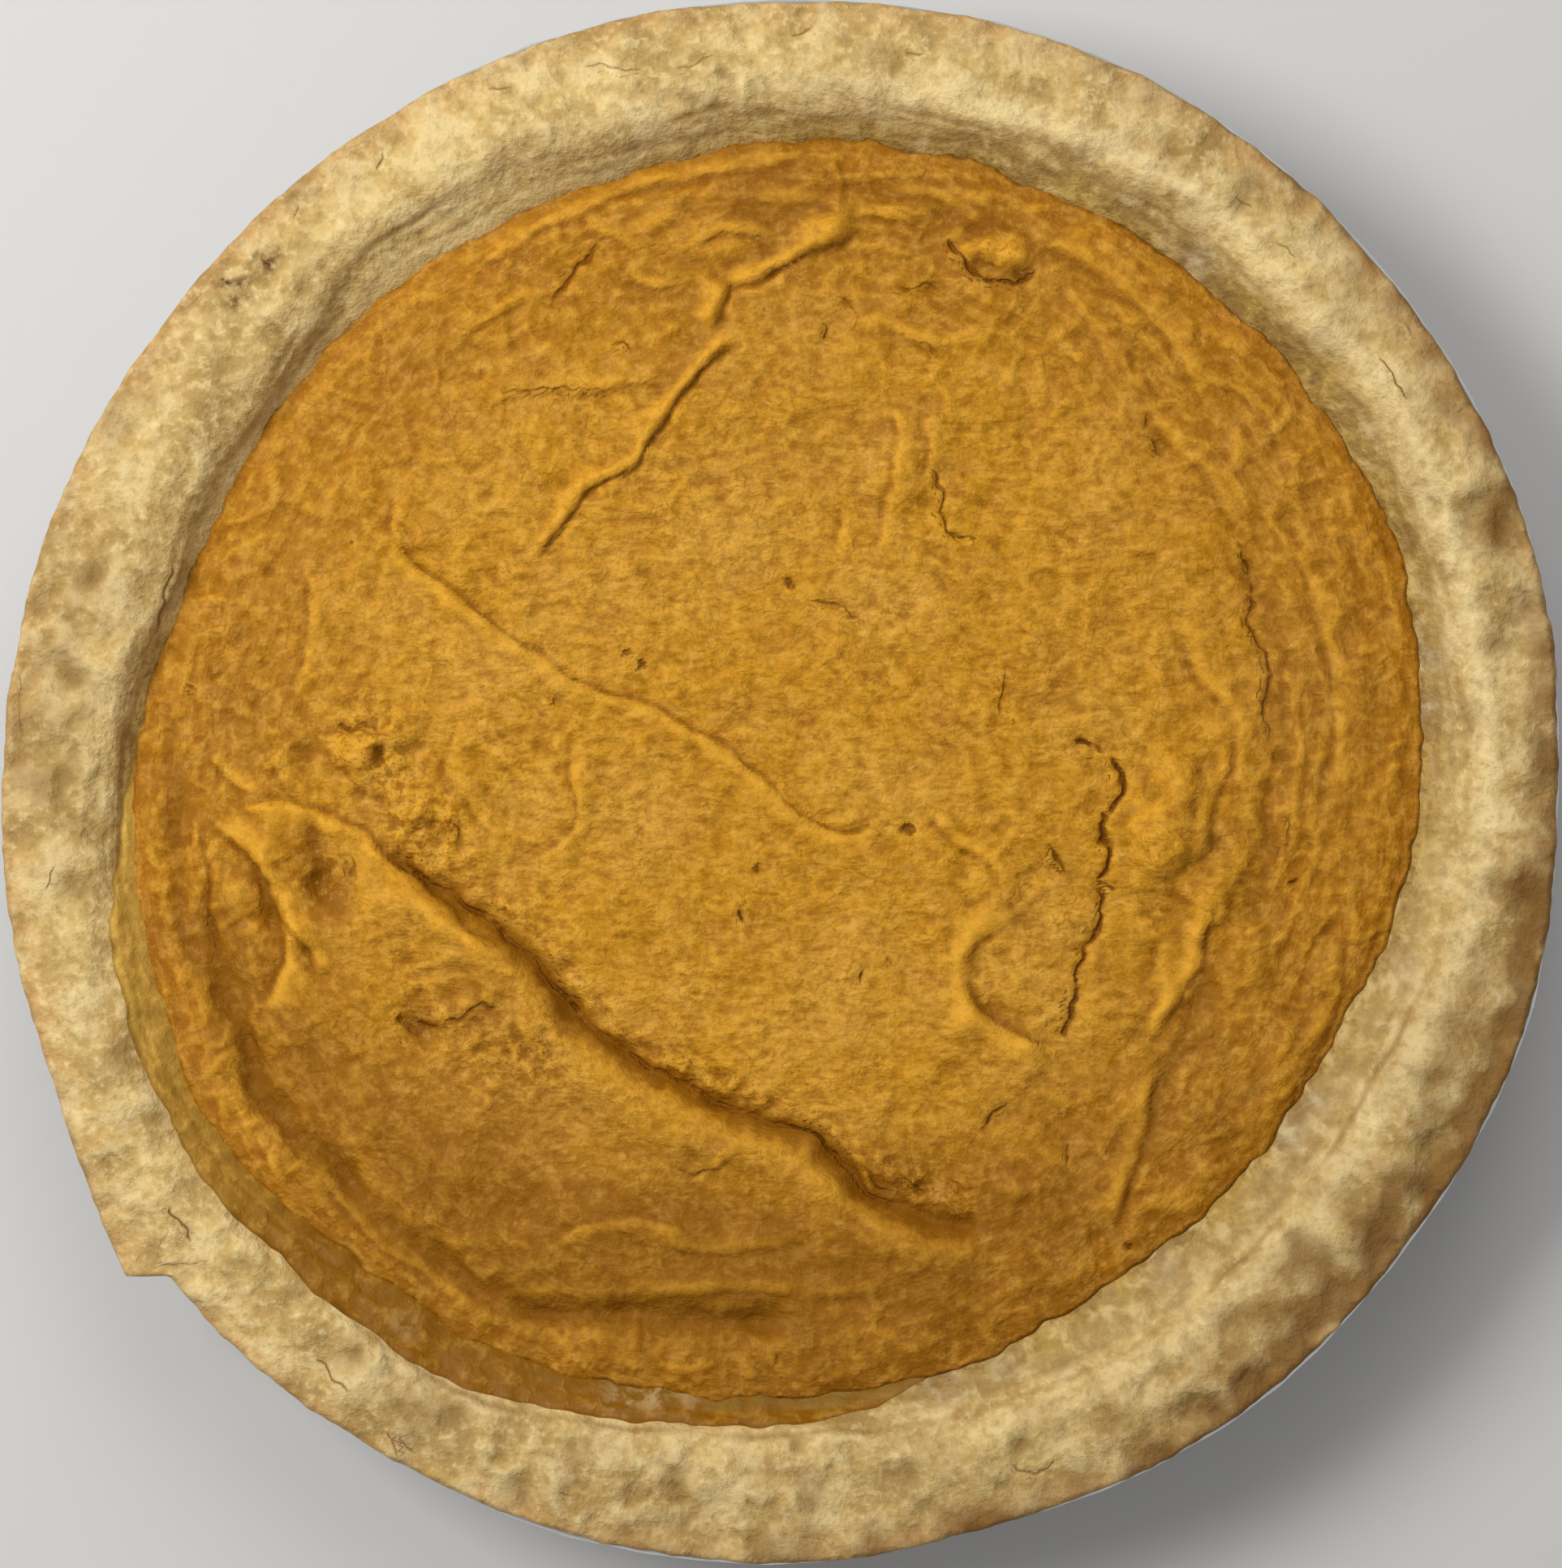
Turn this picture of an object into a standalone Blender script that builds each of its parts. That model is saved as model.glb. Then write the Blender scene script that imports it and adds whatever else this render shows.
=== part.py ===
"""Sweet potato pie in its foil pan: a thin round pan, a pressed dough crust and a baked filling.

Metres, +Z up. The pie stands on Z = 0 with the middle of its outline on the Z axis. Sizes are named in
millimetres from the pan's axis, and azimuths in degrees, counter-clockwise from +X as seen from above.
"""
import bpy
import numpy as np
from mathutils import Vector
from mathutils.geometry import delaunay_2d_cdt

MM = 0.001
GAP = 0.3
OUTLINE_SHIFT = (0.228, -0.287, 0.0)

# Foil pan, in millimetres
FOIL_WALL = 0.5
PAN_BASE_RADIUS = 87.0
PAN_SIDE_FOOT = (88.6, 1.6)
PAN_SIDE_TOP = (109.0, 28.9)
PAN_FLANGE_INNER = 112.2
PAN_FLANGE_OUTER = 118.4
PAN_FLANGE_HEIGHT = 31.3
PAN_BEAD_RADIUS = 1.5
PAN_BEAD_LIFT = 0.4
PAN_BEAD_ANGLES = (-130.0, -70.0, 0.0, 45.0, 90.0)
PAN_RIM_RADIUS = 122.5
PAN_RIM = [
    (0, 122.3), (20, 124.2), (40, 124.7), (60, 125.2), (70, 125.0), (80, 124.2), (95, 123.4), (112, 122.9),
    (130, 121.2), (150, 121.0), (170, 121.3), (190, 122.4), (205, 122.8), (225, 122.7), (240, 123.1),
    (250, 123.4), (262, 123.2), (272, 122.9), (284, 121.0), (292, 122.1), (300, 122.7), (310, 123.0),
    (320, 122.5), (330, 122.8), (342, 123.5), (350, 122.7)]
PAN_SIDE_BEND = 0.3
PAN_SOFTENING = 0.5
PAN_SEGMENTS = 80

# Dough crust, in millimetres
CRUST_BASE_THICKNESS = 3.4
CRUST_SIDE_FOOT = (81.6, 6.4)
CRUST_TOP = 35.6
CRUST_RIM_EDGE_HEIGHT = 33.2
FLAP_REACH = 5.6
FLAP_START = 198.0
FLAP_TIP = 216.8
FLAP_NOTCH = 218.7
FLAP_DROOP = 0.9
CRUST_STEP = 3.0
CRUST_FOOT_SHARE = 0.03
CRUST_LIP = 1.3
CRUST_LIP_CLEARANCE = 0.2
CRUST_SEAT_RISE = 0.5
CRUST_EDGE_ROUND = (0.7, 1.1)
CRUST_FLOOR_INSET = (1.4, 3.0)
CRUST_EDGE = [
    (0, 121.7), (12, 123.2), (25, 123.7), (40, 124.1), (60, 124.6), (72, 124.3), (80, 123.6),
    (90, 122.9), (100, 122.9), (110, 122.4), (122, 121.9), (140, 121.4), (160, 122.1), (178, 122.6),
    (190, 123.4), (200, 123.5), (225, 123.6), (240, 122.5), (250, 122.6), (262, 122.5), (272, 122.4),
    (284, 121.3), (292, 121.5), (302, 122.1), (312, 122.3), (322, 121.8), (332, 122.2), (342, 122.8),
    (350, 122.2)]
CRUST_FOLD = [
    (0, 107.8), (12, 108.4), (24, 109.4), (36, 110.2), (41, 108.4), (47, 108.6), (56, 110.0),
    (66, 108.9), (80, 107.4), (94, 106.9), (99, 105.8), (106, 104.6), (113, 105.8), (119, 106.8),
    (130, 106.0), (138, 103.8), (145, 102.8), (153, 103.6), (161, 102.4), (166, 103.3), (172, 105.2),
    (180, 106.4), (189, 107.8), (196, 108.1), (203, 109.4), (212, 110.2), (222, 109.1), (230, 108.5),
    (239, 108.6), (247, 107.0), (255, 104.9), (265, 103.1), (275, 102.4), (285, 103.4), (305, 104.6),
    (325, 104.4), (335, 104.2), (345, 106.6)]
CRUST_FOLD_DROP = 1.0
CRUST_FOLD_RELIEF = 0.6
# The rim's pressed top from its edge to the fold: share of the way from the fold, height over the top
CRUST_CROWN = [(0.84, -0.7), (0.66, -0.2), (0.46, 0.0), (0.28, 0.0), (0.12, -0.3)]
# Inner wall under the fold: how far in, how far down
CRUST_WALL_HEAD = (1.3, 2.4)
# Inner wall half way down: shares of the way from the fold to the filling
CRUST_WALL_WAIST = (0.55, 0.62)
# Thumb dents and swells of the rim: azimuth, radius, height, reach
RIM_MARKS = [
    (10, 113, -0.8, 5.0), (24, 118, 0.7, 6.0), (38, 112, -0.6, 4.5), (52, 117, 0.6, 6.0),
    (70, 114, -0.7, 5.5), (84, 111, 0.8, 5.0), (98, 117, -0.8, 5.0), (113, 112, 0.6, 5.5),
    (126, 116, -0.6, 4.5), (138, 111, 0.7, 5.0), (152, 116, 0.5, 6.0), (163, 114, -1.0, 4.5),
    (171, 112, -1.2, 4.5), (179, 115, -0.9, 5.0), (190, 114, 0.6, 6.0), (203, 117, 0.6, 6.0),
    (214, 114, -0.5, 5.0), (226, 113, -1.0, 4.5), (234, 117, 0.6, 5.0), (241, 111, -0.9, 4.0),
    (252, 115, 0.7, 6.0), (262, 112, -1.1, 4.5), (270, 117, 0.5, 5.0), (279, 111, -1.1, 4.5),
    (289, 112, -0.9, 4.5), (300, 116, 0.7, 6.0), (314, 111, -0.7, 5.0), (327, 117, 0.6, 6.0),
    (341, 112, -0.8, 5.0), (354, 117, 0.6, 5.5)]

# Filling, in millimetres
FILLING_LEVEL = 28.0
FILLING_LEVEL_LEFT_RISE = 0.8
FILLING_LEVEL_AZIMUTH = 205.0
SHOULDER_RISE = 1.3
SHOULDER_WIDTH = 3.2
DOME_RISE = 0.5
FILLING_FOOT = (81.3, 6.6)
LATTICE = 4.0
STROKE_STEP = 3.0
STROKE_CLEARANCE = 1.1
STROKE_BAND = 1.7
LATTICE_CLEARANCE = 2.4
BORDER_CLEARANCE = 3.4
BORDER_INSET = 2.2
STROKE_TAPER = 5.0
LEVEL_BLEND_RADIUS = 60.0
FILLING_FLOOR_INSET = 3.2
FILLING_EDGE = [
    (5, 101.1), (22, 102.1), (33, 103.2), (45, 103.4), (60, 102.9), (75, 102.5), (88, 102.0), (110, 98.6),
    (135, 99.4), (150, 98.8), (163, 99.4), (180, 102.6), (192, 103.2), (202, 103.8), (211, 105.4),
    (222, 102.4), (232, 100.7), (242, 100.6), (254, 98.5), (266, 97.4), (288, 96.0), (302, 93.8),
    (318, 94.6), (334, 95.2), (350, 98.8)]
# Wrinkles of the baked skin: name, half width, height, depth of the furrow on its right, route
WRINKLES = [
    ("top ridge", 2.2, 1.8, 0.5, [(11, 88), (0, 82.5), (-9.5, 79), (-11.6, 75), (-11.6, 71)]),
    ("top loop", 1.7, 1.1, 0.3, [(-17, 85), (-12, 86.4), (-5, 87), (-9.5, 80)]),
    ("thin ridge", 1.4, 1.2, 0.9, [
        (-40, 35.5), (-31, 46.8), (-23.6, 51), (-20.9, 56.2), (-15, 64), (-7, 70)]),
    ("long ridge", 1.7, 1.4, 0.7, [
        (15.7, -7), (11, -8.9), (6.8, -8), (-8, 3.6), (-18.7, 9.9), (-29.8, 14.4), (-40.4, 20.1),
        (-50.2, 27.3), (-57.4, 32.6), (-60.6, 36.2), (-60, 40.3)]),
    ("main crease", 3.2, 2.4, 2.4, [
        (33.8, -73.5), (22.4, -70.5), (10.5, -66), (1.5, -59), (-8.8, -54.5), (-20, -49), (-29, -43.5),
        (-35, -38), (-40.5, -30), (-49, -22.5), (-60.5, -16.5), (-69.5, -10.5)]),
    ("fork ridge", 1.8, 1.4, 0.6, [
        (-89, -4.5), (-82.5, -10), (-78, -17), (-75.4, -26.5), (-79.5, -33), (-83, -35.6)]),
    ("fork lip", 2.0, 1.2, 0.6, [(-83.5, -3), (-72, -2.4), (-65.5, -6), (-60, -12)]),
    ("right loop", 2.0, 1.5, 0.8, [
        (43.2, -44.5), (35, -39), (28.6, -34.7), (27.7, -28.8), (29.5, -23.5), (33.5, -23), (36.7, -19)]),
    ("right crack", 1.3, -1.8, 0.0, [
        (46, 6.8), (51.4, 5), (53, 0), (51.5, -8), (49.6, -15), (50, -22.3), (46.5, -30), (44.4, -40)]),
    ("thin crack", 1.2, -0.9, 0.0, [(71, 39.4), (74, 27.8), (76.9, 17.5), (76.4, 8)]),
    ("short ridge", 1.8, 1.2, 0.5, [(65.8, -17), (64.6, -25), (62, -32), (57.6, -40)]),
    ("lower ridge", 2.0, 1.2, 0.6, [(48.6, -71.8), (54, -61.5), (57.6, -48), (59.4, -42.7)]),
    ("upper right ridge", 2.2, 0.8, 0.0, [(58, 63), (59.6, 56), (66, 50), (72, 40)]),
    ("top tear", 1.5, -1.6, 0.0, [(26.8, 85), (30.5, 80.5), (39, 80.5)]),
    ("border valley", 5.0, -0.9, 0.0, [
        (-87, -17), (-84, -31), (-75.9, -45), (-68, -59), (-56.7, -72), (-43, -80), (-27, -82), (-14, -80)])]
# Rounded lumps and hollows: x, y, height, reach
LUMPS = [
    (60.0, -8.0, 1.4, 6.5), (58.0, -15.0, 0.8, 5.0), (33.5, 83.5, 1.2, 3.0), (-67.0, 5.0, 1.1, 4.0),
    (-60.0, 1.0, -0.9, 3.5), (-73.5, -17.0, -1.0, 5.0), (-57.0, -36.5, -0.7, 3.5), (19.5, -7.0, 0.8, 2.5),
    (8.0, 22.5, 0.8, 3.0), (24.0, -62.0, -0.9, 5.0), (20.0, 52.0, 0.6, 5.0), (-20.0, 40.0, 0.3, 14.0),
    (30.0, 15.0, 0.4, 16.0), (-20.0, -70.0, 0.6, 13.0), (70.0, -45.0, 0.5, 11.0)]

# Finishes: red, green, blue, metallic, roughness
FOIL_FINISH = (0.78, 0.79, 0.80, 1.0, 0.30)
CRUST_FINISH = (0.67, 0.50, 0.25, 0.0, 0.75)
FILLING_FINISH = (0.58, 0.25, 0.035, 0.0, 0.55)


def clear_scene():
    """Removes every object, so that the file holds only the pie."""
    for item in list(bpy.data.objects):
        bpy.data.objects.remove(item, do_unlink=True)


def ring_radius(azimuth, stations):
    """Radius at each azimuth: a smooth closed curve (Catmull-Rom) through (azimuth, radius) stations."""
    stations = np.array(stations, dtype=float)
    count = len(stations)
    degrees = np.concatenate((stations[:, 0] - 360.0, stations[:, 0], stations[:, 0] + 360.0))
    radii = np.tile(stations[:, 1], 3)
    azimuth = np.mod(azimuth, 360.0)
    i = np.searchsorted(degrees, azimuth, side="right") - 1
    i = np.clip(i, count - 1, 2 * count)
    span = degrees[i + 1] - degrees[i]
    t = (azimuth - degrees[i]) / span
    slope_here = (radii[i + 1] - radii[i - 1]) / (degrees[i + 1] - degrees[i - 1]) * span
    slope_next = (radii[i + 2] - radii[i]) / (degrees[i + 2] - degrees[i]) * span
    here = (2 * t**3 - 3 * t**2 + 1) * radii[i] + (t**3 - 2 * t**2 + t) * slope_here
    return here + (3 * t**2 - 2 * t**3) * radii[i + 1] + (t**3 - t**2) * slope_next


def pan_bend(azimuth):
    """How far the pan's rim, bent in handling, stands out from a true circle."""
    return ring_radius(azimuth, PAN_RIM) - PAN_RIM_RADIUS


def flap_reach(azimuth):
    """How far the loose end of the dough strip stands out: a slow swell, then a sharp notch."""
    swell = np.clip((azimuth - FLAP_START) / (FLAP_TIP - FLAP_START), 0.0, 1.0) ** 1.6
    notch = np.clip((FLAP_NOTCH - azimuth) / (FLAP_NOTCH - FLAP_TIP), 0.0, 1.0)
    return FLAP_REACH * swell * notch


def crust_azimuths():
    """Even azimuths round the crust, two of them moved to the tip and the notch of the flap."""
    azimuth = np.arange(0.0, 360.0, CRUST_STEP)
    azimuth[np.argmin(np.abs(azimuth - FLAP_TIP))] = FLAP_TIP
    azimuth[np.argmin(np.abs(azimuth - FLAP_NOTCH))] = FLAP_NOTCH
    return azimuth


def side_point(along, inset):
    """Point of the pan's sloping side: along it from foot to top, and inset square to its outer face."""
    foot = np.array(PAN_SIDE_FOOT)
    run = np.array(PAN_SIDE_TOP) - foot
    normal = np.array((-run[1], run[0])) / np.hypot(*run)
    return foot + along * run + inset * normal


def turned_shell(name, azimuth, stations, low_pole, high_pole):
    """Closed mesh of rings, one for each station (radius, height), shut at the axis by two fans."""
    angle = np.radians(azimuth)
    count = len(azimuth)
    points = [(0.0, 0.0, low_pole)]
    for radius, level in stations:
        radius = np.broadcast_to(radius, angle.shape)
        level = np.broadcast_to(level, angle.shape)
        points.extend(zip(radius * np.cos(angle), radius * np.sin(angle), level))
    points.append((0.0, 0.0, high_pole))
    last = len(points) - 1
    faces = []
    for j in range(count):
        k = (j + 1) % count
        faces.append((0, 1 + k, 1 + j))
        faces.append((last, last - count + j, last - count + k))
        for row in range(len(stations) - 1):
            low = 1 + row * count
            high = low + count
            faces.append((low + j, low + k, high + k, high + j))
    return solid(name, points, faces)


def solid(name, points, faces):
    """Object in the scene from points in millimetres and faces that look outwards."""
    mesh = bpy.data.meshes.new(name)
    shift = Vector(OUTLINE_SHIFT)
    mesh.from_pydata([(Vector(point) + shift) * MM for point in points], [], faces)
    mesh.validate()
    mesh.shade_smooth()
    item = bpy.data.objects.new(name, mesh)
    bpy.context.scene.collection.objects.link(item)
    return item


def finish(item, values):
    """Gives a piece its own material."""
    material = bpy.data.materials.new(item.name)
    material.use_nodes = True
    shader = material.node_tree.nodes["Principled BSDF"]
    shader.inputs["Base Color"].default_value = (*values[:3], 1.0)
    shader.inputs["Metallic"].default_value = values[3]
    shader.inputs["Roughness"].default_value = values[4]
    item.data.materials.append(material)


def make_pan():
    """Foil pan: flat base, sloping side, level flange and a rolled bead round its edge."""
    azimuth = np.linspace(0.0, 360.0, PAN_SEGMENTS, endpoint=False)
    bend = pan_bend(azimuth)
    bead = PAN_RIM_RADIUS - PAN_BEAD_RADIUS + bend
    bead_height = PAN_FLANGE_HEIGHT - PAN_BEAD_RADIUS + PAN_BEAD_LIFT
    under = PAN_FLANGE_HEIGHT - FOIL_WALL
    flange_inner = PAN_FLANGE_INNER + PAN_SIDE_BEND * bend
    flange_outer = PAN_FLANGE_OUTER + bend
    stations = [
        (PAN_BASE_RADIUS, 0.0),
        PAN_SIDE_FOOT,
        PAN_SIDE_TOP,
        (flange_inner, under),
        (flange_outer, under)]
    for angle in np.radians(PAN_BEAD_ANGLES):
        level = bead_height + PAN_BEAD_RADIUS * np.sin(angle)
        stations.append((bead + PAN_BEAD_RADIUS * np.cos(angle), level))
    stations += [
        (flange_outer, PAN_FLANGE_HEIGHT),
        (flange_inner - PAN_SOFTENING, PAN_FLANGE_HEIGHT),
        side_point(1.0, FOIL_WALL),
        side_point(0.0, FOIL_WALL),
        (PAN_BASE_RADIUS - PAN_SOFTENING, FOIL_WALL)]
    pan = turned_shell("foil_pan", azimuth, stations, 0.0, FOIL_WALL)
    finish(pan, FOIL_FINISH)
    return pan


def rim_relief(azimuth, radius):
    """Dents and swells of the rim's pressed top: a sum of round bumps."""
    angle = np.radians(azimuth)
    x = radius * np.cos(angle)
    y = radius * np.sin(angle)
    total = np.zeros_like(x)
    for where, far, height, reach in RIM_MARKS:
        dx = x - far * np.cos(np.radians(where))
        dy = y - far * np.sin(np.radians(where))
        total += height * np.exp(-(dx**2 + dy**2) / reach**2)
    return total


def filling_level(azimuth):
    """Height of the filling's edge: a little higher where it has run up the crust."""
    lift = np.exp(-((np.mod(azimuth - FILLING_LEVEL_AZIMUTH + 180.0, 360.0) - 180.0) / 45.0) ** 2)
    return FILLING_LEVEL + FILLING_LEVEL_LEFT_RISE * lift


def make_crust():
    """Dough crust: lines the pan, rolls over its flange and ends in a broad pressed rim with a loose flap."""
    azimuth = crust_azimuths()
    bend = pan_bend(azimuth)
    flap = flap_reach(azimuth)
    edge = ring_radius(azimuth, CRUST_EDGE) + flap
    fold = ring_radius(azimuth, CRUST_FOLD)
    brim = ring_radius(azimuth, FILLING_EDGE) + GAP
    level = filling_level(azimuth)
    width = edge - fold
    droop = FLAP_DROOP * flap / FLAP_REACH
    inset = FOIL_WALL + GAP
    seat = PAN_FLANGE_HEIGHT + GAP
    bead = PAN_RIM_RADIUS - PAN_BEAD_RADIUS + bend
    over_bead = seat + CRUST_SEAT_RISE
    wall_in, wall_down = CRUST_WALL_WAIST

    def crown(share, rise):
        """Ring on the rim's top, a share of the way from the fold to the edge."""
        radius = fold + share * width
        return radius, CRUST_TOP + rise + rim_relief(azimuth, radius) - droop * share**3

    stations = [
        (PAN_BASE_RADIUS - CRUST_FLOOR_INSET[0], inset),
        side_point(CRUST_FOOT_SHARE, inset),
        side_point(1.0, inset),
        (PAN_FLANGE_INNER - 2.0 * PAN_SOFTENING + PAN_SIDE_BEND * bend, seat),
        (PAN_FLANGE_OUTER + bend, seat),
        (bead, over_bead),
        (np.maximum(edge - CRUST_LIP, bead + CRUST_LIP_CLEARANCE), over_bead),
        (edge, CRUST_RIM_EDGE_HEIGHT - droop),
        (edge - CRUST_EDGE_ROUND[0], CRUST_RIM_EDGE_HEIGHT + CRUST_EDGE_ROUND[1] - droop)]
    stations += [crown(share, rise) for share, rise in CRUST_CROWN]
    stations += [
        (fold, CRUST_TOP - CRUST_FOLD_DROP + CRUST_FOLD_RELIEF * rim_relief(azimuth, fold)),
        (fold - CRUST_WALL_HEAD[0], CRUST_TOP - CRUST_WALL_HEAD[1]),
        (fold + wall_in * (brim - fold), CRUST_TOP + wall_down * (level - CRUST_TOP)),
        (brim, level),
        (0.5 * (brim + CRUST_SIDE_FOOT[0]), 0.5 * (level + CRUST_SIDE_FOOT[1])),
        CRUST_SIDE_FOOT,
        (CRUST_SIDE_FOOT[0] - CRUST_FLOOR_INSET[1], inset + CRUST_BASE_THICKNESS)]
    crust = turned_shell("pie_crust", azimuth, stations, inset, inset + CRUST_BASE_THICKNESS)
    finish(crust, CRUST_FINISH)
    return crust


def smooth_route(points, step):
    """Points at even steps along a Catmull-Rom curve through the given ones."""
    points = np.array(points, dtype=float)
    ends = np.vstack((2 * points[0] - points[1], points, 2 * points[-1] - points[-2]))
    t = np.linspace(0.0, 1.0, 24, endpoint=False)[:, None]
    pieces = []
    for before, here, after, beyond in zip(ends, ends[1:], ends[2:], ends[3:]):
        curve = here + 0.5 * t * (after - before)
        curve = curve + t**2 * (before - 2.5 * here + 2 * after - 0.5 * beyond)
        pieces.append(curve + t**3 * (1.5 * here - 1.5 * after + 0.5 * (beyond - before)))
    fine = np.vstack((*pieces, points[-1:]))
    travelled = np.concatenate(([0.0], np.cumsum(np.hypot(*np.diff(fine, axis=0).T))))
    even = np.linspace(0.0, travelled[-1], max(2, int(round(travelled[-1] / step)) + 1))
    return np.column_stack((np.interp(even, travelled, fine[:, 0]), np.interp(even, travelled, fine[:, 1])))


def offset_to_route(x, y, route):
    """Signed distance to a route, positive on its left, and a fade from 1 to 0 towards its two ends."""
    start = route[:-1]
    run = route[1:] - start
    length = np.hypot(run[:, 0], run[:, 1])
    travelled = np.concatenate(([0.0], np.cumsum(length)))
    dx = x[:, None] - start[:, 0]
    dy = y[:, None] - start[:, 1]
    t = np.clip((dx * run[:, 0] + dy * run[:, 1]) / length**2, 0.0, 1.0)
    away = np.hypot(dx - t * run[:, 0], dy - t * run[:, 1])
    nearest = np.argmin(away, axis=1)
    rows = np.arange(len(x))
    cross = run[nearest, 0] * dy[rows, nearest] - run[nearest, 1] * dx[rows, nearest]
    along = travelled[nearest] + t[rows, nearest] * length[nearest]
    to_end = np.minimum(along, travelled[-1] - along)
    fade = np.clip(to_end / STROKE_TAPER, 0.0, 1.0)
    return away[rows, nearest] * np.sign(cross), fade * fade * (3.0 - 2.0 * fade)


def skin_height(x, y):
    """Height of the filling's skin: a rounded shoulder and a low dome, with wrinkles and lumps on them."""
    radius = np.hypot(x, y)
    azimuth = np.degrees(np.arctan2(y, x))
    inward = np.maximum(ring_radius(azimuth, FILLING_EDGE) - radius, 0.0)
    blend = np.clip(radius / LEVEL_BLEND_RADIUS, 0.0, 1.0) ** 2
    height = FILLING_LEVEL + blend * (filling_level(azimuth) - FILLING_LEVEL)
    height += SHOULDER_RISE * (1.0 - np.exp(-((inward / SHOULDER_WIDTH) ** 2)))
    height += DOME_RISE * (1.0 - (radius / PAN_BASE_RADIUS) ** 2) * np.clip(inward / SHOULDER_WIDTH, 0.0, 1.0)
    border = np.clip(inward / BORDER_INSET, 0.0, 1.0)
    for _, half_width, rise, furrow, points in WRINKLES:
        side, fade = offset_to_route(x, y, smooth_route(points, 1.5))
        height += border * fade * rise * np.exp(-((side / half_width) ** 2))
        height -= border * fade * furrow * np.exp(-(((side + 1.5 * half_width) / (0.8 * half_width)) ** 2))
    for lump_x, lump_y, rise, reach in LUMPS:
        height += border * rise * np.exp(-((x - lump_x) ** 2 + (y - lump_y) ** 2) / reach**2)
    return height


def keep_apart(points, fixed, clearance):
    """Drops each point that comes closer than the clearance to a fixed or an earlier one."""
    kept = list(fixed)
    for point in points:
        gaps = np.hypot(*(np.array(kept) - point).T)
        if gaps.min() > clearance:
            kept.append(point)
    return kept


def well_inside(candidates):
    """The candidates that lie well within the filling's border."""
    candidates = np.array(candidates)
    bearing = np.degrees(np.arctan2(candidates[:, 1], candidates[:, 0]))
    room = ring_radius(bearing, FILLING_EDGE) - np.hypot(candidates[:, 0], candidates[:, 1])
    return candidates[room > BORDER_CLEARANCE]


def skin_plan(azimuth):
    """Points of the skin seen from above: border ring, inset ring, rows along wrinkles, then a lattice."""
    angle = np.radians(azimuth)
    turn = np.column_stack((np.cos(angle), np.sin(angle)))
    edge = ring_radius(azimuth, FILLING_EDGE)
    points = list(turn * edge[:, None]) + list(turn * (edge - BORDER_INSET)[:, None])
    rows = []
    for _, half_width, _, furrow, route_points in WRINKLES:
        route = smooth_route(route_points, STROKE_STEP)
        run = np.gradient(route, axis=0)
        left = np.column_stack((-run[:, 1], run[:, 0])) / np.hypot(run[:, 0], run[:, 1])[:, None]
        for share in (0.0, 1.3, -1.5, -0.7):
            rows.extend(route + share * half_width * left)
    reach = edge.max()
    count = int(reach / LATTICE) + 1
    lattice = []
    for row in range(-count, count + 1):
        y = row * LATTICE * np.sqrt(0.75)
        for column in range(-count, count + 1):
            lattice.append((LATTICE * (column + 0.5 * (row % 2)), y))

    points = keep_apart(well_inside(rows), points, STROKE_CLEARANCE)
    lattice = well_inside(lattice)
    for _, half_width, _, _, route_points in WRINKLES:
        side, fade = offset_to_route(lattice[:, 0], lattice[:, 1], smooth_route(route_points, STROKE_STEP))
        lattice = lattice[(np.abs(side) > STROKE_BAND * half_width) | (fade == 0.0)]
    return np.array(keep_apart(lattice, points, LATTICE_CLEARANCE))


def make_filling():
    """Baked filling: fills the crust from its base to the wrinkled skin."""
    azimuth = crust_azimuths()
    angle = np.radians(azimuth)
    count = len(azimuth)
    plan = skin_plan(azimuth)
    border = list(range(count))
    result = delaunay_2d_cdt([Vector(point) for point in plan], [], [border], 1, 1e-5)
    flat = np.array([tuple(point) for point in result[0]])
    origin = [sources[0] for sources in result[3]]
    height = skin_height(flat[:, 0], flat[:, 1])
    place = {source: index for index, source in enumerate(origin)}
    ring = [place[index] for index in border]
    height[ring] = filling_level(azimuth)
    points = [(x, y, z) for (x, y), z in zip(flat, height)]
    faces = [tuple(face) for face in result[2]]
    edge = ring_radius(azimuth, FILLING_EDGE)
    waist = 0.5 * (edge + FILLING_FOOT[0])
    waist_height = 0.5 * (filling_level(azimuth) + FILLING_FOOT[1])
    base = FOIL_WALL + GAP + CRUST_BASE_THICKNESS + GAP
    rings = [ring]
    for radius, level in ((waist, waist_height), FILLING_FOOT, (FILLING_FOOT[0] - FILLING_FLOOR_INSET, base)):
        rings.append(list(range(len(points), len(points) + count)))
        radius = np.broadcast_to(radius, angle.shape)
        level = np.broadcast_to(level, angle.shape)
        points.extend(zip(radius * np.cos(angle), radius * np.sin(angle), level))
    points.append((0.0, 0.0, base))
    middle = len(points) - 1
    for j in range(count):
        k = (j + 1) % count
        for upper, lower in zip(rings, rings[1:]):
            faces.append((lower[j], lower[k], upper[k], upper[j]))
        faces.append((middle, rings[-1][k], rings[-1][j]))
    filling = solid("sweet_potato_filling", points, faces)
    finish(filling, FILLING_FINISH)
    return filling


clear_scene()
pie = bpy.data.objects.new("sweet_potato_pie", None)
bpy.context.scene.collection.objects.link(pie)
for piece in (make_pan(), make_crust(), make_filling()):
    piece.parent = pie
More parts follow.
